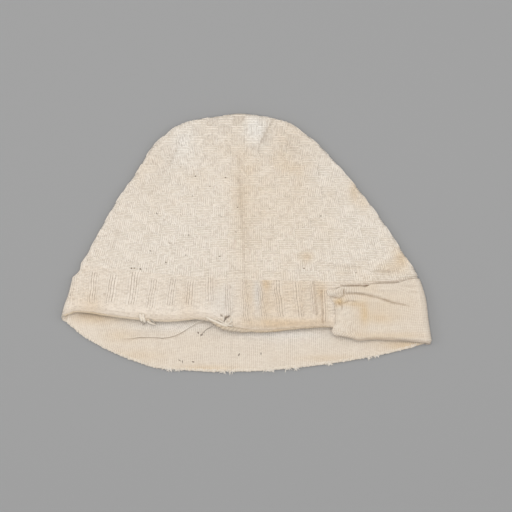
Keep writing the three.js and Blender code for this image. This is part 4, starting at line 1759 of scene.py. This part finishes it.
        # Painted shade on the rows under the fold.
        layers[:, self.tuck_under, Tint.DIRT.value] += self.tuck_under_shade
        stitches = np.stack([points[..., 0] / self.stitch, points[..., 1] / self.row], -1)
        fold = Sheet("facing_fold", points, stitches, layers, wraps=False).build()
        finish_piece(fold, material, "plain_knit")
        rows = KnitRows(self.form, self.gauge, self.yarn, 0.2, 12, Face.FINE, FINE_TONE)
        first, last = self.tuck_upper
        laid = rows.cover(points[:, first:last:-1], (self.stitch, self.row), self.wear)
        return [fold, rows.knit("facing_fold_stitches", laid, yarn, "plain_knit")]

    def build(self, material: bpy.types.Material, yarn: bpy.types.Material) -> None:
        """Makes the facing, its fold and its stitches.

        Args:
            material: the finish between the stitches.
            yarn: the stitches' finish.
        """
        top = self.height / self.form.body_length
        outer, inner = np.linspace(0, top, self.outer_rows), np.linspace(top, 0, self.rows)
        turn, rise, depth = cloth_grid(self.steps, outer, inner, self.depth, self.wall)
        points = self.form.points(turn, rise, depth)
        shown = (depth > self.depth) & (turn >= 3)
        x, y = points[..., 0], points[..., 1]
        points[..., 2] += np.where(shown, self.wrinkles(x, y) - self.ground, 0)
        layers = self.wear(points) * shown[..., None]
        stitches = np.stack([x / self.stitch, y / self.row], -1)
        piece = Sheet("facing_cloth", points, stitches, layers).build()
        finish_piece(piece, material, "plain_knit", "facing")
        on_it = self.lip(material, yarn)
        rows = KnitRows(self.form, self.gauge, self.yarn, 0.2, 12, Face.FINE, FINE_TONE)
        around, up = self.seen_steps
        seen = np.linspace(0, self.seen_height / self.form.body_length, up)[None, :]
        back = np.linspace(3.002, 3.998, around)[:, None]
        grid = self.form.points(back, seen, self.depth + self.wall)
        grid[..., 2] += self.wrinkles(grid[..., 0], grid[..., 1]) - self.ground
        laid = rows.cover(grid, (self.stitch, self.row), self.wear)
        on_it.append(rows.knit("facing_stitches", laid, yarn, "plain_knit"))
        self.cut.declare(piece, ["band_cloth"], on_it)


@dataclass
class TurnedCuff:
    """The end of the facing, turned up over the band at the right corner."""

    form: CapForm
    gauge: Gauge
    wall: float = 0.0013
    seat: float = 0.00035
    left: float = 0.49
    full_within: float = 0.08
    wrap: float = 0.35
    height: float = 0.0435
    lift: float = 0.002
    lining: float = 0.0029
    # The sag of its foot: how far, where along the rim and how wide.
    sag: float = 0.0022
    sag_place: float = 0.61
    sag_width: float = 0.075
    # The upper edge: how thick its hem is, and how it slims at the very top and at the fold.
    hem: float = 0.0005
    slim: float = 0.0009
    # The turns before the left edge over which it is pulled out and over which its relief ends.
    edge_turns: float = 0.09
    flat_turns: float = 0.016
    ragged: float = 0.0004
    lump_height: float = 0.0007
    wave_height: float = 0.00028
    face_lift: float = 0.0003
    # The points of its lip and of its underside's step.
    lip_rows: int = 4
    least_wall: float = 0.0002
    # How dark the painted shade along the cuff's folds is.
    crease_shade: float = 0.7
    cut: Cut = Cut(0.078, 0.046, 0.0034)
    stitch: float = 0.00145
    row: float = 0.0011
    steps: int = 150
    fold_steps: int = 16
    rows: int = 64
    yarn: float = 0.00045
    # Its upper edge: places across the rim, and shares of its height.
    top: tuple[tuple[float, float], ...] = (
        (0.48, 0.86), (0.53, 0.87), (0.56, 0.90), (0.66, 0.90), (0.69, 0.89), (0.74, 0.935),
        (0.80, 0.937), (0.86, 0.935), (0.90, 0.945), (0.94, 0.975), (1.0, 1.0),
    )
    # Its left edge: places along the cap, and how far it stands out to the left there.
    edge: tuple[tuple[float, float], ...] = (
        (-0.0735, -0.0085), (-0.0715, -0.0050), (-0.0700, -0.0020), (-0.0680, 0.0008),
        (-0.0658, 0.0016), (-0.0628, 0.0000), (-0.0598, -0.0017), (-0.0516, -0.0022),
        (-0.0486, -0.0017), (-0.0456, -0.0011), (-0.0411, 0.0019), (-0.0381, 0.0038),
        (-0.0344, 0.0024),
    )
    # Folds of the cuff; where a last number is given, the fold's line is darkened by that much as
    # painted shade.
    creases: tuple[Crease, ...] = creases(
        (0.0735, -0.0386, 0.0815, -0.0382, 0.0011, -0.0008, 0.6),
        (0.0805, -0.0382, 0.0880, -0.0392, 0.0011, -0.0009, 0.6),
        (0.0868, -0.0390, 0.0995, -0.0418, 0.0011, -0.0009, 0.6),
        (0.0985, -0.0415, 0.1105, -0.0455, 0.0011, -0.0009, 0.8),
        (0.1090, -0.0450, 0.1211, -0.0475, 0.0012, -0.0007, 0.6),
        (0.0750, -0.0366, 0.1000, -0.0390, 0.0016, 0.0008),
        (0.0740, -0.0430, 0.1000, -0.0455, 0.0036, 0.0008),
        (0.0727, -0.0345, 0.0725, -0.0400, 0.0010, -0.0008, 0.9),
        (0.0640, -0.0370, 0.0690, -0.0365, 0.0026, 0.0010),
        (0.0615, -0.0405, 0.0690, -0.0418, 0.0010, -0.0007, 0.8),
        (0.0690, -0.0418, 0.0725, -0.0398, 0.0010, -0.0007, 0.7),
        (0.0665, -0.0445, 0.0675, -0.0480, 0.0009, -0.0005, 0.7),
        (0.0685, -0.0440, 0.0698, -0.0475, 0.0009, -0.0005, 0.7),
        (0.0708, -0.0435, 0.0715, -0.0500, 0.0010, -0.0005, 0.6),
        (0.0725, -0.0455, 0.0765, -0.0438, 0.0010, -0.0006, 0.7),
        (0.0765, -0.0438, 0.0830, -0.0444, 0.0010, -0.0005, 0.5),
        (0.1200, -0.0370, 0.1330, -0.0380, 0.0014, -0.0004, 0.2),
        (0.1160, -0.0330, 0.1300, -0.0330, 0.0014, -0.0003, 0.2),
    )
    stains: tuple[Stain, ...] = (
        *spots(
            Tint.SOIL,
            (0.088, -0.053, 0.0035, 0.009, 0.55), (0.080, -0.046, 0.007, 0.002, 0.45),
            (0.098, -0.057, 0.014, 0.004, 0.35), (0.0690, -0.0445, 0.0042, 0.0028, 0.85),
            (0.105, -0.070, 0.030, 0.003, 0.35), (0.100, -0.046, 0.030, 0.014, 0.18),
        ),
        *spots(
            Tint.BLEACH,
            (0.074, -0.055, 0.008, 0.006, 0.15),
        ),
    )

    def profile(self, across: float) -> tuple[np.ndarray, np.ndarray]:
        """The cuff's section: lip, foot, face, upper edge and underside.

        Args:
            across: where along the rim.

        Returns:
            Heights above the rim, and depths.
        """
        full = float(smooth_step(np.array(across), self.left, self.left + self.full_within))
        seat, wall = self.seat * full, self.wall * (0.3 + 0.7 * full)
        top = self.height * float(curves(self.top)[0](np.array(across)))
        raised = self.form.front_lift * float(self.form.rim_front(np.array(across))) - self.lift
        sag = self.sag * math.exp(-(((across - self.sag_place) / self.sag_width) ** 2))
        foot = -self.seat - max(0.0, raised) - sag
        face = -seat - wall
        share = np.linspace(0, 1, self.rows)
        heights = foot + (top - foot) * share
        at_fold = float(smooth_step(np.array(across), 0.9, 1.0))
        hem = self.hem * (1 - at_fold) * smooth_step(heights, top - 0.006, top - 0.004)
        hem = hem - self.slim * smooth_step(heights, top - 0.0012, top)
        hem = hem - self.slim * at_fold * smooth_step(heights, top - 0.016, top - 0.001)
        face_depth = face - hem + wall * 0.6 * (1 - smooth_step(heights, foot, foot + self.wall))
        face_depth = np.minimum(face_depth, -seat - self.least_wall)
        lip = np.linspace(self.lining, face + wall * 0.9, self.lip_rows)
        under = np.linspace(self.lining, self.seat, self.lip_rows)[:0:-1]
        low = np.full(self.lip_rows, foot - self.wall)
        high = np.concatenate([low, heights, heights[::-1], np.full(len(under), foot)])
        deep = np.concatenate([lip, face_depth, np.full(self.rows, -seat), under])
        return high, deep

    def build(self, material: bpy.types.Material, yarn: bpy.types.Material) -> None:
        """Makes the cuff and its stitches.

        Args:
            material: the finish between the stitches.
            yarn: the stitches' finish.
        """
        fold = np.linspace(self.wrap, 1, self.fold_steps + 1)
        turns = np.concatenate([fold, np.linspace(1, (3 - self.left) / 2, self.steps + 1)[1:]])
        sections = [self.profile(float(a)) for a in self.form.across(turns)]
        high = np.array([section[0] for section in sections])
        deep = np.array([section[1] for section in sections])
        turn = np.broadcast_to(turns[:, None], high.shape)
        points = self.form.points(turn, high / self.form.body_length, deep)
        row = np.arange(high.shape[1])
        face = ((row >= self.lip_rows) & (row < self.lip_rows + self.rows))[None, :] & (turn > 0.9)
        y = points[..., 1].copy()
        pulled = smooth_step(turn, turns[-1] - self.edge_turns, turns[-1])
        ragged = self.ragged * SoftWaves(0.004, 21)(y, y * 0.3)
        points[..., 0] -= pulled * (curves(self.edge)[0](y) + ragged)
        x = points[..., 0].copy()
        flat = 1 - smooth_step(turn, turns[-1] - self.flat_turns, turns[-1])
        lumps = self.lump_height * pulled * (0.6 + 0.4 * SoftWaves(0.005, 8)(x, y))
        height = sum(crease.height * crease.amount(x, y) for crease in self.creases)
        waves = self.wave_height * SoftWaves(0.018, 31)(x, y)
        points[..., 2] += np.where(face, (height + waves + lumps + self.face_lift) * flat, 0)
        stitches = np.stack([x / self.stitch, y / self.row], -1)
        piece = Sheet("cuff_cloth", points, stitches, self.wear(points), wraps=False).build()
        finish_piece(piece, material, "plain_knit", "turned_cuff")
        rows = KnitRows(self.form, self.gauge, self.yarn, 0.15, 15, Face.FINE, FINE_TONE)
        grid = points[::-1, self.lip_rows : self.lip_rows + self.rows]
        laid = rows.cover(grid, (self.stitch, self.row), self.wear)
        knitted = rows.knit("cuff_stitches", laid, yarn, "plain_knit")
        self.cut.declare(piece, ["band_cloth"], [knitted])

    def wear(self, place: np.ndarray) -> np.ndarray:
        """Soil, bleach and darkening of the cuff, with painted shade along its folds."""
        return worn_and_shaded(place, self.stains, self.creases, self.crease_shade, CUFF_LINES)


@dataclass
class HemRoll:
    """The rolled hem under the front rim, twisted where it is torn loose."""

    form: CapForm
    radius: float = 0.0010
    torn_radius: float = 0.0019
    right: float = 0.481
    torn: tuple[float, float] = (-0.27, 0.02)
    twist_turns: float = 4.5
    stitch: float = 0.0018
    strands: int = 3
    steps: int = 460
    fold_steps: int = 8
    last_turn: float = 2.2
    sides: int = 18
    # Where its middle lies: how far below the rim, and how deep where it is whole.
    below_rim: float = 0.0002
    depth: float = 0.0013
    # A strand's roundness, and how high the strands stand out of the twist.
    strand_round: float = 0.7
    strand_height: float = 0.3

    def build(self, material: bpy.types.Material) -> bpy.types.Object:
        """Makes the roll.

        Args:
            material: its finish.

        Returns:
            The piece.
        """
        turns = np.linspace((3 - self.right) / 2, 2.0, self.steps + 1)
        fold = np.linspace(2.0, self.last_turn, self.fold_steps + 1)
        turns = np.concatenate([turns, fold[1:]])[:, None]
        across = self.form.across(turns)
        share = np.clip((across - self.torn[0]) / (self.torn[1] - self.torn[0]), 0, 1)
        loose = np.sin(np.pi * share) ** 0.5
        place = np.linspace(0, 1, len(turns))[:, None]
        ends = np.minimum(place, 1 - place)
        taper = 0.3 + 0.7 * self.form.rounded_end(ends, 0.05)
        along = across * self.form.half_width
        lumps = 1 + 0.13 * SoftWaves(0.008, 3)(along, along * 0)
        lumps = lumps + 0.1 * SoftWaves(0.0022, 6)(along, along * 0)
        radius = (self.radius + (self.torn_radius - self.radius) * loose) * taper * lumps
        angle = np.linspace(0, 2 * np.pi, self.sides, endpoint=False)[None, :]
        turned = self.strands * (angle - 2 * np.pi * self.twist_turns * share)
        strands = np.abs(np.cos(turned / 2)) ** self.strand_round
        lobes = 1 + self.strand_height * loose * strands - self.strand_height / 2 * loose
        middle = -self.below_rim - radius * 0.55 * loose
        high = middle - radius * lobes * np.cos(angle)
        deep = self.depth - 0.0006 * loose - radius * lobes * np.sin(angle)
        turn = np.broadcast_to(turns, high.shape)
        points = self.form.points(turn, high / self.form.body_length, deep)
        x, y = points[..., 0], points[..., 1]
        layers = np.zeros(points.shape)
        right = smooth_step(x, -0.01, 0.01)
        left = 1 - smooth_step(x, -0.11, -0.06)
        soil = 0.2 + 0.1 * SoftWaves(0.02, 4)(x, y) + 0.2 * right + 0.25 * left
        layers[..., Tint.SOIL.value] = soil
        knobs = np.clip(1 + SoftWaves(0.0022, 35)(x, angle * self.radius), 0, 2)
        # Painted shade in the grooves of the loose twist, and knobs that darken at random, more so on
        # the right.
        groove_shade = 1 - strands
        layers[..., Tint.DIRT.value] = 0.5 * loose * groove_shade + (0.06 + 0.16 * right) * knobs
        stitches = np.stack([x / self.stitch, angle + 0 * x], -1)
        piece = Sheet("hem_cloth", points, stitches, layers, wraps=False).build()
        finish_piece(piece, material, "rib_knit", "hem_roll")
        return piece


@dataclass
class Marks:
    """Small stitches, frayed ends and stitch holes, each a short strand of yarn; the holes' strands
    are dark, painted shade.
    """

    form: CapForm
    gauge: Gauge
    seed: int = 41
    rim_length: float = 0.29
    rim_step: float = 0.0012
    # Width and height of the rim's stitches and of the frayed ends.
    rim_thickness: tuple[float, float] = (0.0019, 0.0017)
    fray_thickness: tuple[float, float] = (0.0007, 0.0006)
    frays_together: int = 9
    rim_end: float = 3.975
    rim_above: float = 0.0004
    rim_depth: float = 0.0016
    rim_lowest: float = 0.0025
    frays: tuple[float, ...] = (
        -0.0613, -0.0590, -0.0523, -0.0179, -0.0112, 0.0164, 0.0200, 0.0321, 0.0381, 0.0643,
        0.0957, 0.1009,
    )
    holes: tuple[tuple[float, float], ...] = (
        (-0.0497, -0.0886), (-0.0475, -0.0897), (-0.0396, -0.0897), (-0.0052, -0.0844),
        (0.0112, -0.0837), (-0.0359, -0.0680), (-0.0333, -0.0695), (0.0654, -0.0575),
    )
    hole_height: float = 0.0029
    # How high above the rim and how far out the cuff's holes lie.
    cuff_above: float = 0.0028
    cuff_out: float = 0.00172
    cuff_holes: tuple[float, ...] = (
        0.0735, 0.0760, 0.0810, 0.0860, 0.0905, 0.0950, 0.0980, 0.1030, 0.1065, 0.1100, 0.1155,
        0.1180, 0.1225, 0.1250, 0.1290, 0.1315,
    )

    def strands(
        self, places: np.ndarray, ways: np.ndarray, sizes: np.ndarray, dirt: np.ndarray,
        bleach: float = 0.0,
    ) -> Stitches:
        """Single strands that lie flat.

        Args:
            places: their middles.
            ways: the directions that they run in.
            sizes: length, width and thickness of each.
            darkening: how dark each is.
            bleach: how white they are.

        Returns:
            Strands, as stitches.
        """
        upward = np.cross(np.array([0.0, 0.0, 1.0]), ways)
        wear = np.zeros((len(places), 3))
        wear[:, Tint.DIRT.value] = dirt
        wear[:, Tint.BLEACH.value] = bleach
        plain = np.zeros(len(places), bool)
        return Stitches(places, ways, upward, sizes, plain, wear, np.zeros(len(places)))

    def rim(self) -> Stitches:
        """Slanted stitches over the edge of the back rim."""
        draw = np.random.default_rng(self.seed)
        along_back = np.linspace(3.001, 3.996, int(self.rim_length / self.rim_step))
        turn = np.concatenate([np.linspace(2.1, 2.95, 10), along_back])
        turn = turn + draw.uniform(-0.001, 0.001, len(turn))
        places = self.form.points(turn, self.rim_above / self.form.body_length, self.rim_depth)
        places[:, 1] += draw.uniform(-0.00015, 0.00015, len(turn))
        height = np.maximum(places[:, 2], self.rim_lowest)
        places[:, 2] = height + draw.uniform(-0.0002, 0.0002, len(turn))
        ways = rows_of(len(turn), draw.uniform(-0.1, 0.6, len(turn)), 1.0, 0.0)
        ways[turn < 3] = (1.0, 0.3, 0.0)
        sizes = rows_of(len(turn), draw.uniform(0.0016, 0.0024, len(turn)), *self.rim_thickness)
        dirt = draw.uniform(0.0, 0.05, len(turn))
        kept = turn < self.rim_end
        return self.strands(places[kept], ways[kept], sizes[kept], dirt[kept], 0.15)

    def frayed(self) -> Stitches:
        """Short loose ends that stand out from the back rim."""
        draw = np.random.default_rng(self.seed + 1)
        middles = np.repeat(np.array(self.frays), self.frays_together)
        across = middles + draw.normal(0, 0.0012, len(middles))
        foot = self.form.points((across / self.form.half_width + 7) / 2, 0.0, 0.0012)
        lean = draw.normal(0, 0.9, len(across))
        ways = rows_of(len(across), lean, -1.0, 0.0)
        ways /= np.linalg.norm(ways, axis=1, keepdims=True)
        length = draw.uniform(0.0016, 0.0036, len(across))
        places = foot + ways * length[:, None] * 0.3
        places[:, 2] = draw.uniform(0.0014, 0.0028, len(across))
        sizes = rows_of(len(across), length, *self.fray_thickness)
        return self.strands(places, ways, sizes, np.zeros(len(across)), 0.6)

    def openings(self) -> Stitches:
        """Stitch holes and specks in the facing, and pairs of holes along the cuff's foot, as dark
        strands of painted shade.
        """
        draw = np.random.default_rng(self.seed + 2)
        flat = np.array(self.holes)
        speck = rows_of(len(flat), *flat.T, self.hole_height)
        turn = (3 - np.array(self.cuff_holes) / self.form.half_width) / 2
        pairs = self.form.points(turn, self.cuff_above / self.form.body_length, -self.cuff_out)
        pairs[:, 1] += draw.uniform(-0.0004, 0.0004, len(pairs))
        places = np.concatenate([speck, pairs])
        ways = draw.normal(0, 1, (len(places), 3)) * np.array([1.0, 1.0, 0.0])
        lengths = draw.uniform(0.0013, 0.0021, len(speck))
        sizes = np.concatenate([
            rows_of(len(speck), lengths, 0.0009, 0.0004), rows_of(len(pairs), 0.0009, 0.0008, 0.0004),
        ])
        return self.strands(places, ways, sizes, np.full(len(places), HOLE_SHADE))

    def build(self, yarn: bpy.types.Material) -> list[bpy.types.Object]:
        """Lays all the marks.

        Args:
            yarn: their finish.

        Returns:
            A piece for each kind of mark.
        """
        rows = KnitRows(self.form, self.gauge, seed=3, tone=0.0)
        kinds = {"rim_stitches": self.rim, "frayed_ends": self.frayed, "stitch_holes": self.openings}
        return [rows.knit(name, made(), yarn, "plain_knit") for name, made in kinds.items()]


@dataclass
class Thread:
    """A loose thread, whose heights count from the front layer's face if it lies on that."""

    radius: float
    dark: float
    on_front: bool
    places: tuple[tuple[float, float, float], ...]
    step: float = 0.0004

    def tube(self, sides: int = 6) -> tuple[np.ndarray, list[tuple[int, ...]]]:
        """A smooth closed tube along the thread.

        Args:
            sides: corners of its section.

        Returns:
            Its points and faces.
        """
        given = np.array(self.places)
        lengths = lengths_along(given)
        count = max(6, int(lengths[-1] / self.step))
        place = np.linspace(0, lengths[-1], count)
        line = np.stack([Course(lengths, given[:, k])(place) for k in range(3)], -1)
        way = np.gradient(line, axis=0)
        way /= np.linalg.norm(way, axis=1, keepdims=True)
        side = np.cross(way, [0.0, 0.0, 1.0])
        side /= np.maximum(np.linalg.norm(side, axis=1, keepdims=True), 1e-9)
        up = np.cross(side, way)
        angle = np.linspace(0, 2 * np.pi, sides, endpoint=False)
        from_end = np.minimum(place, lengths[-1] - place)
        thick = self.radius * np.sqrt(np.clip(from_end / self.radius, 0.15, 1))
        sideways, upwards = np.cos(angle)[None, :, None], np.sin(angle)[None, :, None]
        rings = side[:, None] * sideways + up[:, None] * upwards
        points = line[:, None] + rings * thick[:, None, None]
        faces = []
        for near in range(0, (count - 1) * sides, sides):
            far = near + sides
            pairs = [(s, (s + 1) % sides) for s in range(sides)]
            faces += [(near + s, near + after, far + after, far + s) for s, after in pairs]
        faces += [tuple(range(sides))[::-1], tuple((count - 1) * sides + s for s in range(sides))]
        return points.reshape(-1, 3), faces


@dataclass
class LooseThreads:
    """Threads, tufts and the knot at the tear, and the yarn ends at the hem."""

    form: CapForm
    # How deep in the front's face the threads on it lie, and how finely the front is searched.
    seat: float = 0.0002
    search_steps: tuple[int, int] = (500, 120)
    threads: tuple[Thread, ...] = (
        # The dark thread that hangs over the facing, with its knot.
        Thread(0.00022, 0.55, False, (
            (-0.0235, -0.0617, 0.0100), (-0.0262, -0.0637, 0.0060), (-0.0295, -0.0655, 0.0036),
            (-0.0318, -0.0678, 0.0034), (-0.0333, -0.0695, 0.0034),
        )),
        Thread(0.0004, 0.6, False, (
            (-0.0325, -0.0688, 0.0034), (-0.0333, -0.0697, 0.0037), (-0.0341, -0.0692, 0.0034),
        )),
        # The torn place: dark strands over the hole, painted shade of the opening, and a pale loop
        # round it.
        Thread(0.0004, 0.75, True, (
            (-0.0120, -0.0547, 0.0), (-0.0140, -0.0560, 0.0004), (-0.0158, -0.0572, 0.0),
        )),
        Thread(0.0004, 0.75, True, (
            (-0.0156, -0.0564, 0.0), (-0.0157, -0.0585, 0.0003), (-0.0160, -0.0604, 0.0),
        )),
        Thread(0.0003, 0.5, True, (
            (-0.0190, -0.0540, 0.0), (-0.0172, -0.0555, 0.0002),
        )),
        Thread(0.0007, 0.08, True, (
            (-0.0118, -0.0558, 0.0003), (-0.0108, -0.0580, 0.0006), (-0.0122, -0.0602, 0.0008),
            (-0.0146, -0.0606, 0.0007), (-0.0152, -0.0592, 0.0004), (-0.0138, -0.0580, 0.0002),
        )),
        Thread(0.0010, 0.04, True, (
            (-0.0300, -0.0556, 0.0003), (-0.0262, -0.0576, 0.0008), (-0.0225, -0.0592, 0.0010),
            (-0.0180, -0.0612, 0.0010), (-0.0135, -0.0628, 0.0005),
        )),
        Thread(0.0008, 0.12, True, (
            (-0.0215, -0.0572, 0.0003), (-0.0180, -0.0592, 0.0008), (-0.0140, -0.0616, 0.0008),
            (-0.0095, -0.0626, 0.0003),
        )),
        # The tuft that crosses the hem, and the slit beside it, whose darker strands are painted
        # shade.
        Thread(0.0012, 0.0, True, (
            (-0.0788, -0.0530, 0.0003), (-0.0783, -0.0552, 0.0008), (-0.0777, -0.0574, 0.0008),
            (-0.0772, -0.0592, -0.0005),
        )),
        Thread(0.0011, 0.03, True, (
            (-0.0766, -0.0530, 0.0002), (-0.0763, -0.0556, 0.0008), (-0.0757, -0.0578, 0.0006),
            (-0.0752, -0.0602, -0.0012),
        )),
        Thread(0.0008, 0.35, False, (
            (-0.0775, -0.0585, 0.0120), (-0.0766, -0.0605, 0.0095), (-0.0760, -0.0620, 0.0080),
        )),
        Thread(0.0007, 0.5, True, (
            (-0.0716, -0.0574, 0.0), (-0.0695, -0.0588, 0.0), (-0.0676, -0.0606, -0.0010),
        )),
        Thread(0.0008, 0.05, True, (
            (-0.0735, -0.0588, 0.0), (-0.0705, -0.0604, -0.0010), (-0.0672, -0.0614, -0.0025),
        )),
    )

    def build(self, yarn: bpy.types.Material) -> bpy.types.Object:
        """Makes all the threads one piece.

        Args:
            yarn: their finish.

        Returns:
            The piece.
        """
        points, faces, dark = [], [], []
        across, up = self.search_steps
        turn, high = np.linspace(1, 2, across)[:, None], np.linspace(-0.02, 0.3, up)[None, :]
        front = self.form.points(turn, high, self.seat).reshape(-1, 3)
        for thread in self.threads:
            start = sum(len(part) for part in points)
            tube, rings = thread.tube()
            if thread.on_front:
                near = np.linalg.norm(tube[:, None, :2] - front[None, :, :2], axis=-1).argmin(1)
                tube[:, 2] += front[near, 2]
            points.append(tube)
            dark.append(np.full(len(tube), thread.dark))
            faces += [tuple(start + k for k in ring) for ring in rings]
        mesh = bpy.data.meshes.new("loose_threads")
        mesh.from_pydata(np.concatenate(points).tolist(), [], faces)
        wear = np.zeros((len(mesh.vertices), 3))
        wear[:, Tint.DIRT.value] = np.concatenate(dark)
        set_wear_and_shading(mesh, wear)
        clean = bmesh.new()
        clean.from_mesh(mesh)
        bmesh.ops.recalc_face_normals(clean, faces=clean.faces)
        clean.to_mesh(mesh)
        clean.free()
        mesh.shade_smooth()
        piece = show("loose_threads", mesh)
        finish_piece(piece, yarn, "rib_knit")
        return piece


@dataclass
class Studio:
    """The board that the cap lies on, the lights and the camera above it."""

    aim: tuple[float, float] = (0.0075, -0.0105)
    distance: float = 1.5
    seen: float = 0.3826
    rim_height: float = 0.006
    floor_size: float = 6.0
    room_light: float = 0.36
    light: float = 9.0
    # Each lamp's name, place, width and share of the light.
    lamps: tuple[tuple[str, tuple[float, float, float], float, float], ...] = (
        ("left_softbox", (-1.15, 0.25, 1.05), 0.8, 0.5),
        ("right_softbox", (1.15, 0.25, 1.05), 0.8, 0.4),
        ("front_softbox", (0.0, 0.1, 1.9), 1.0, 2.55),
    )

    def board(self) -> None:
        """A plain, pale board under the cap."""
        half = self.floor_size / 2
        mesh = bpy.data.meshes.new("board")
        corners = [(-half, -half, 0), (half, -half, 0), (half, half, 0), (-half, half, 0)]
        mesh.from_pydata(corners, [], [(0, 1, 2, 3)])
        board = show("board", mesh)
        recipe = Recipe("board")
        shader = recipe.add("ShaderNodeBsdfPrincipled")
        here = recipe.add("ShaderNodeTexCoord").outputs["Object"]
        grain = recipe.times(recipe.noise(here, 3.0), 0.1)
        grey = recipe.mix(grain, linear(152, 152, 152), linear(145, 145, 145))
        recipe.join(grey, shader.inputs["Base Color"])
        shader.inputs["Roughness"].default_value = 0.85
        shader.inputs["Specular IOR Level"].default_value = 0.1
        output = recipe.add("ShaderNodeOutputMaterial")
        recipe.join(shader.outputs[0], output.inputs[0])
        mesh.materials.append(recipe.material)

    def lamp(self, name: str, place: tuple[float, float, float], size: float, power: float) -> None:
        """A soft square light that looks at the cap."""
        light = bpy.data.lights.new(name, "AREA")
        light.shape = "SQUARE"
        light.size = size
        light.energy = power
        lamp = show(name, light)
        lamp.location = place
        lamp.rotation_euler = (-Vector(place)).to_track_quat("-Z", "Y").to_euler()

    def build(self) -> None:
        """Sets the whole scene round the cap."""
        self.board()
        for name, place, size, share in self.lamps:
            self.lamp(name, place, size, self.light * share)
        world = bpy.data.worlds.new("room")
        world.use_nodes = True
        background = world.node_tree.nodes["Background"]
        background.inputs["Color"].default_value = (1, 1, 1, 1)
        background.inputs["Strength"].default_value = self.room_light
        bpy.context.scene.world = world
        bpy.context.scene.view_settings.view_transform = "Standard"
        camera = bpy.data.cameras.new("camera")
        camera.sensor_width = 36.0
        camera.lens = (self.distance - self.rim_height) * camera.sensor_width / self.seen
        camera.clip_end = 20.0
        holder = show("camera", camera)
        holder.location = (*self.aim, self.distance)
        bpy.context.scene.camera = holder


def main() -> None:
    """Builds the pieces in order and reports each one."""
    logging.basicConfig(level=logging.INFO, format="%(name)s: %(message)s")
    form = CapForm()
    gauge = Gauge(form)
    plain, hem = PLAIN_KNIT.make(gauge), ROLLED_HEM.make(gauge)
    thread, fine = LOOSE_YARN.make(gauge), PLAIN_YARN.make(gauge)
    Crown(form, gauge).build(BASKET_GROUND.make(gauge), BASKET_YARN.make(gauge), thread)
    marks = Marks(form, gauge)
    on_band = [HemRoll(form).build(hem), *marks.build(thread), LooseThreads(form).build(thread)]
    RibBand(form, gauge).build(RIB_GROUND.make(gauge), RIB_YARN.make(gauge), on_band)
    Facing(form, gauge).build(plain, fine)
    TurnedCuff(form, gauge).build(plain, fine)
    Studio().build()


if __name__ == "__main__":
    main()
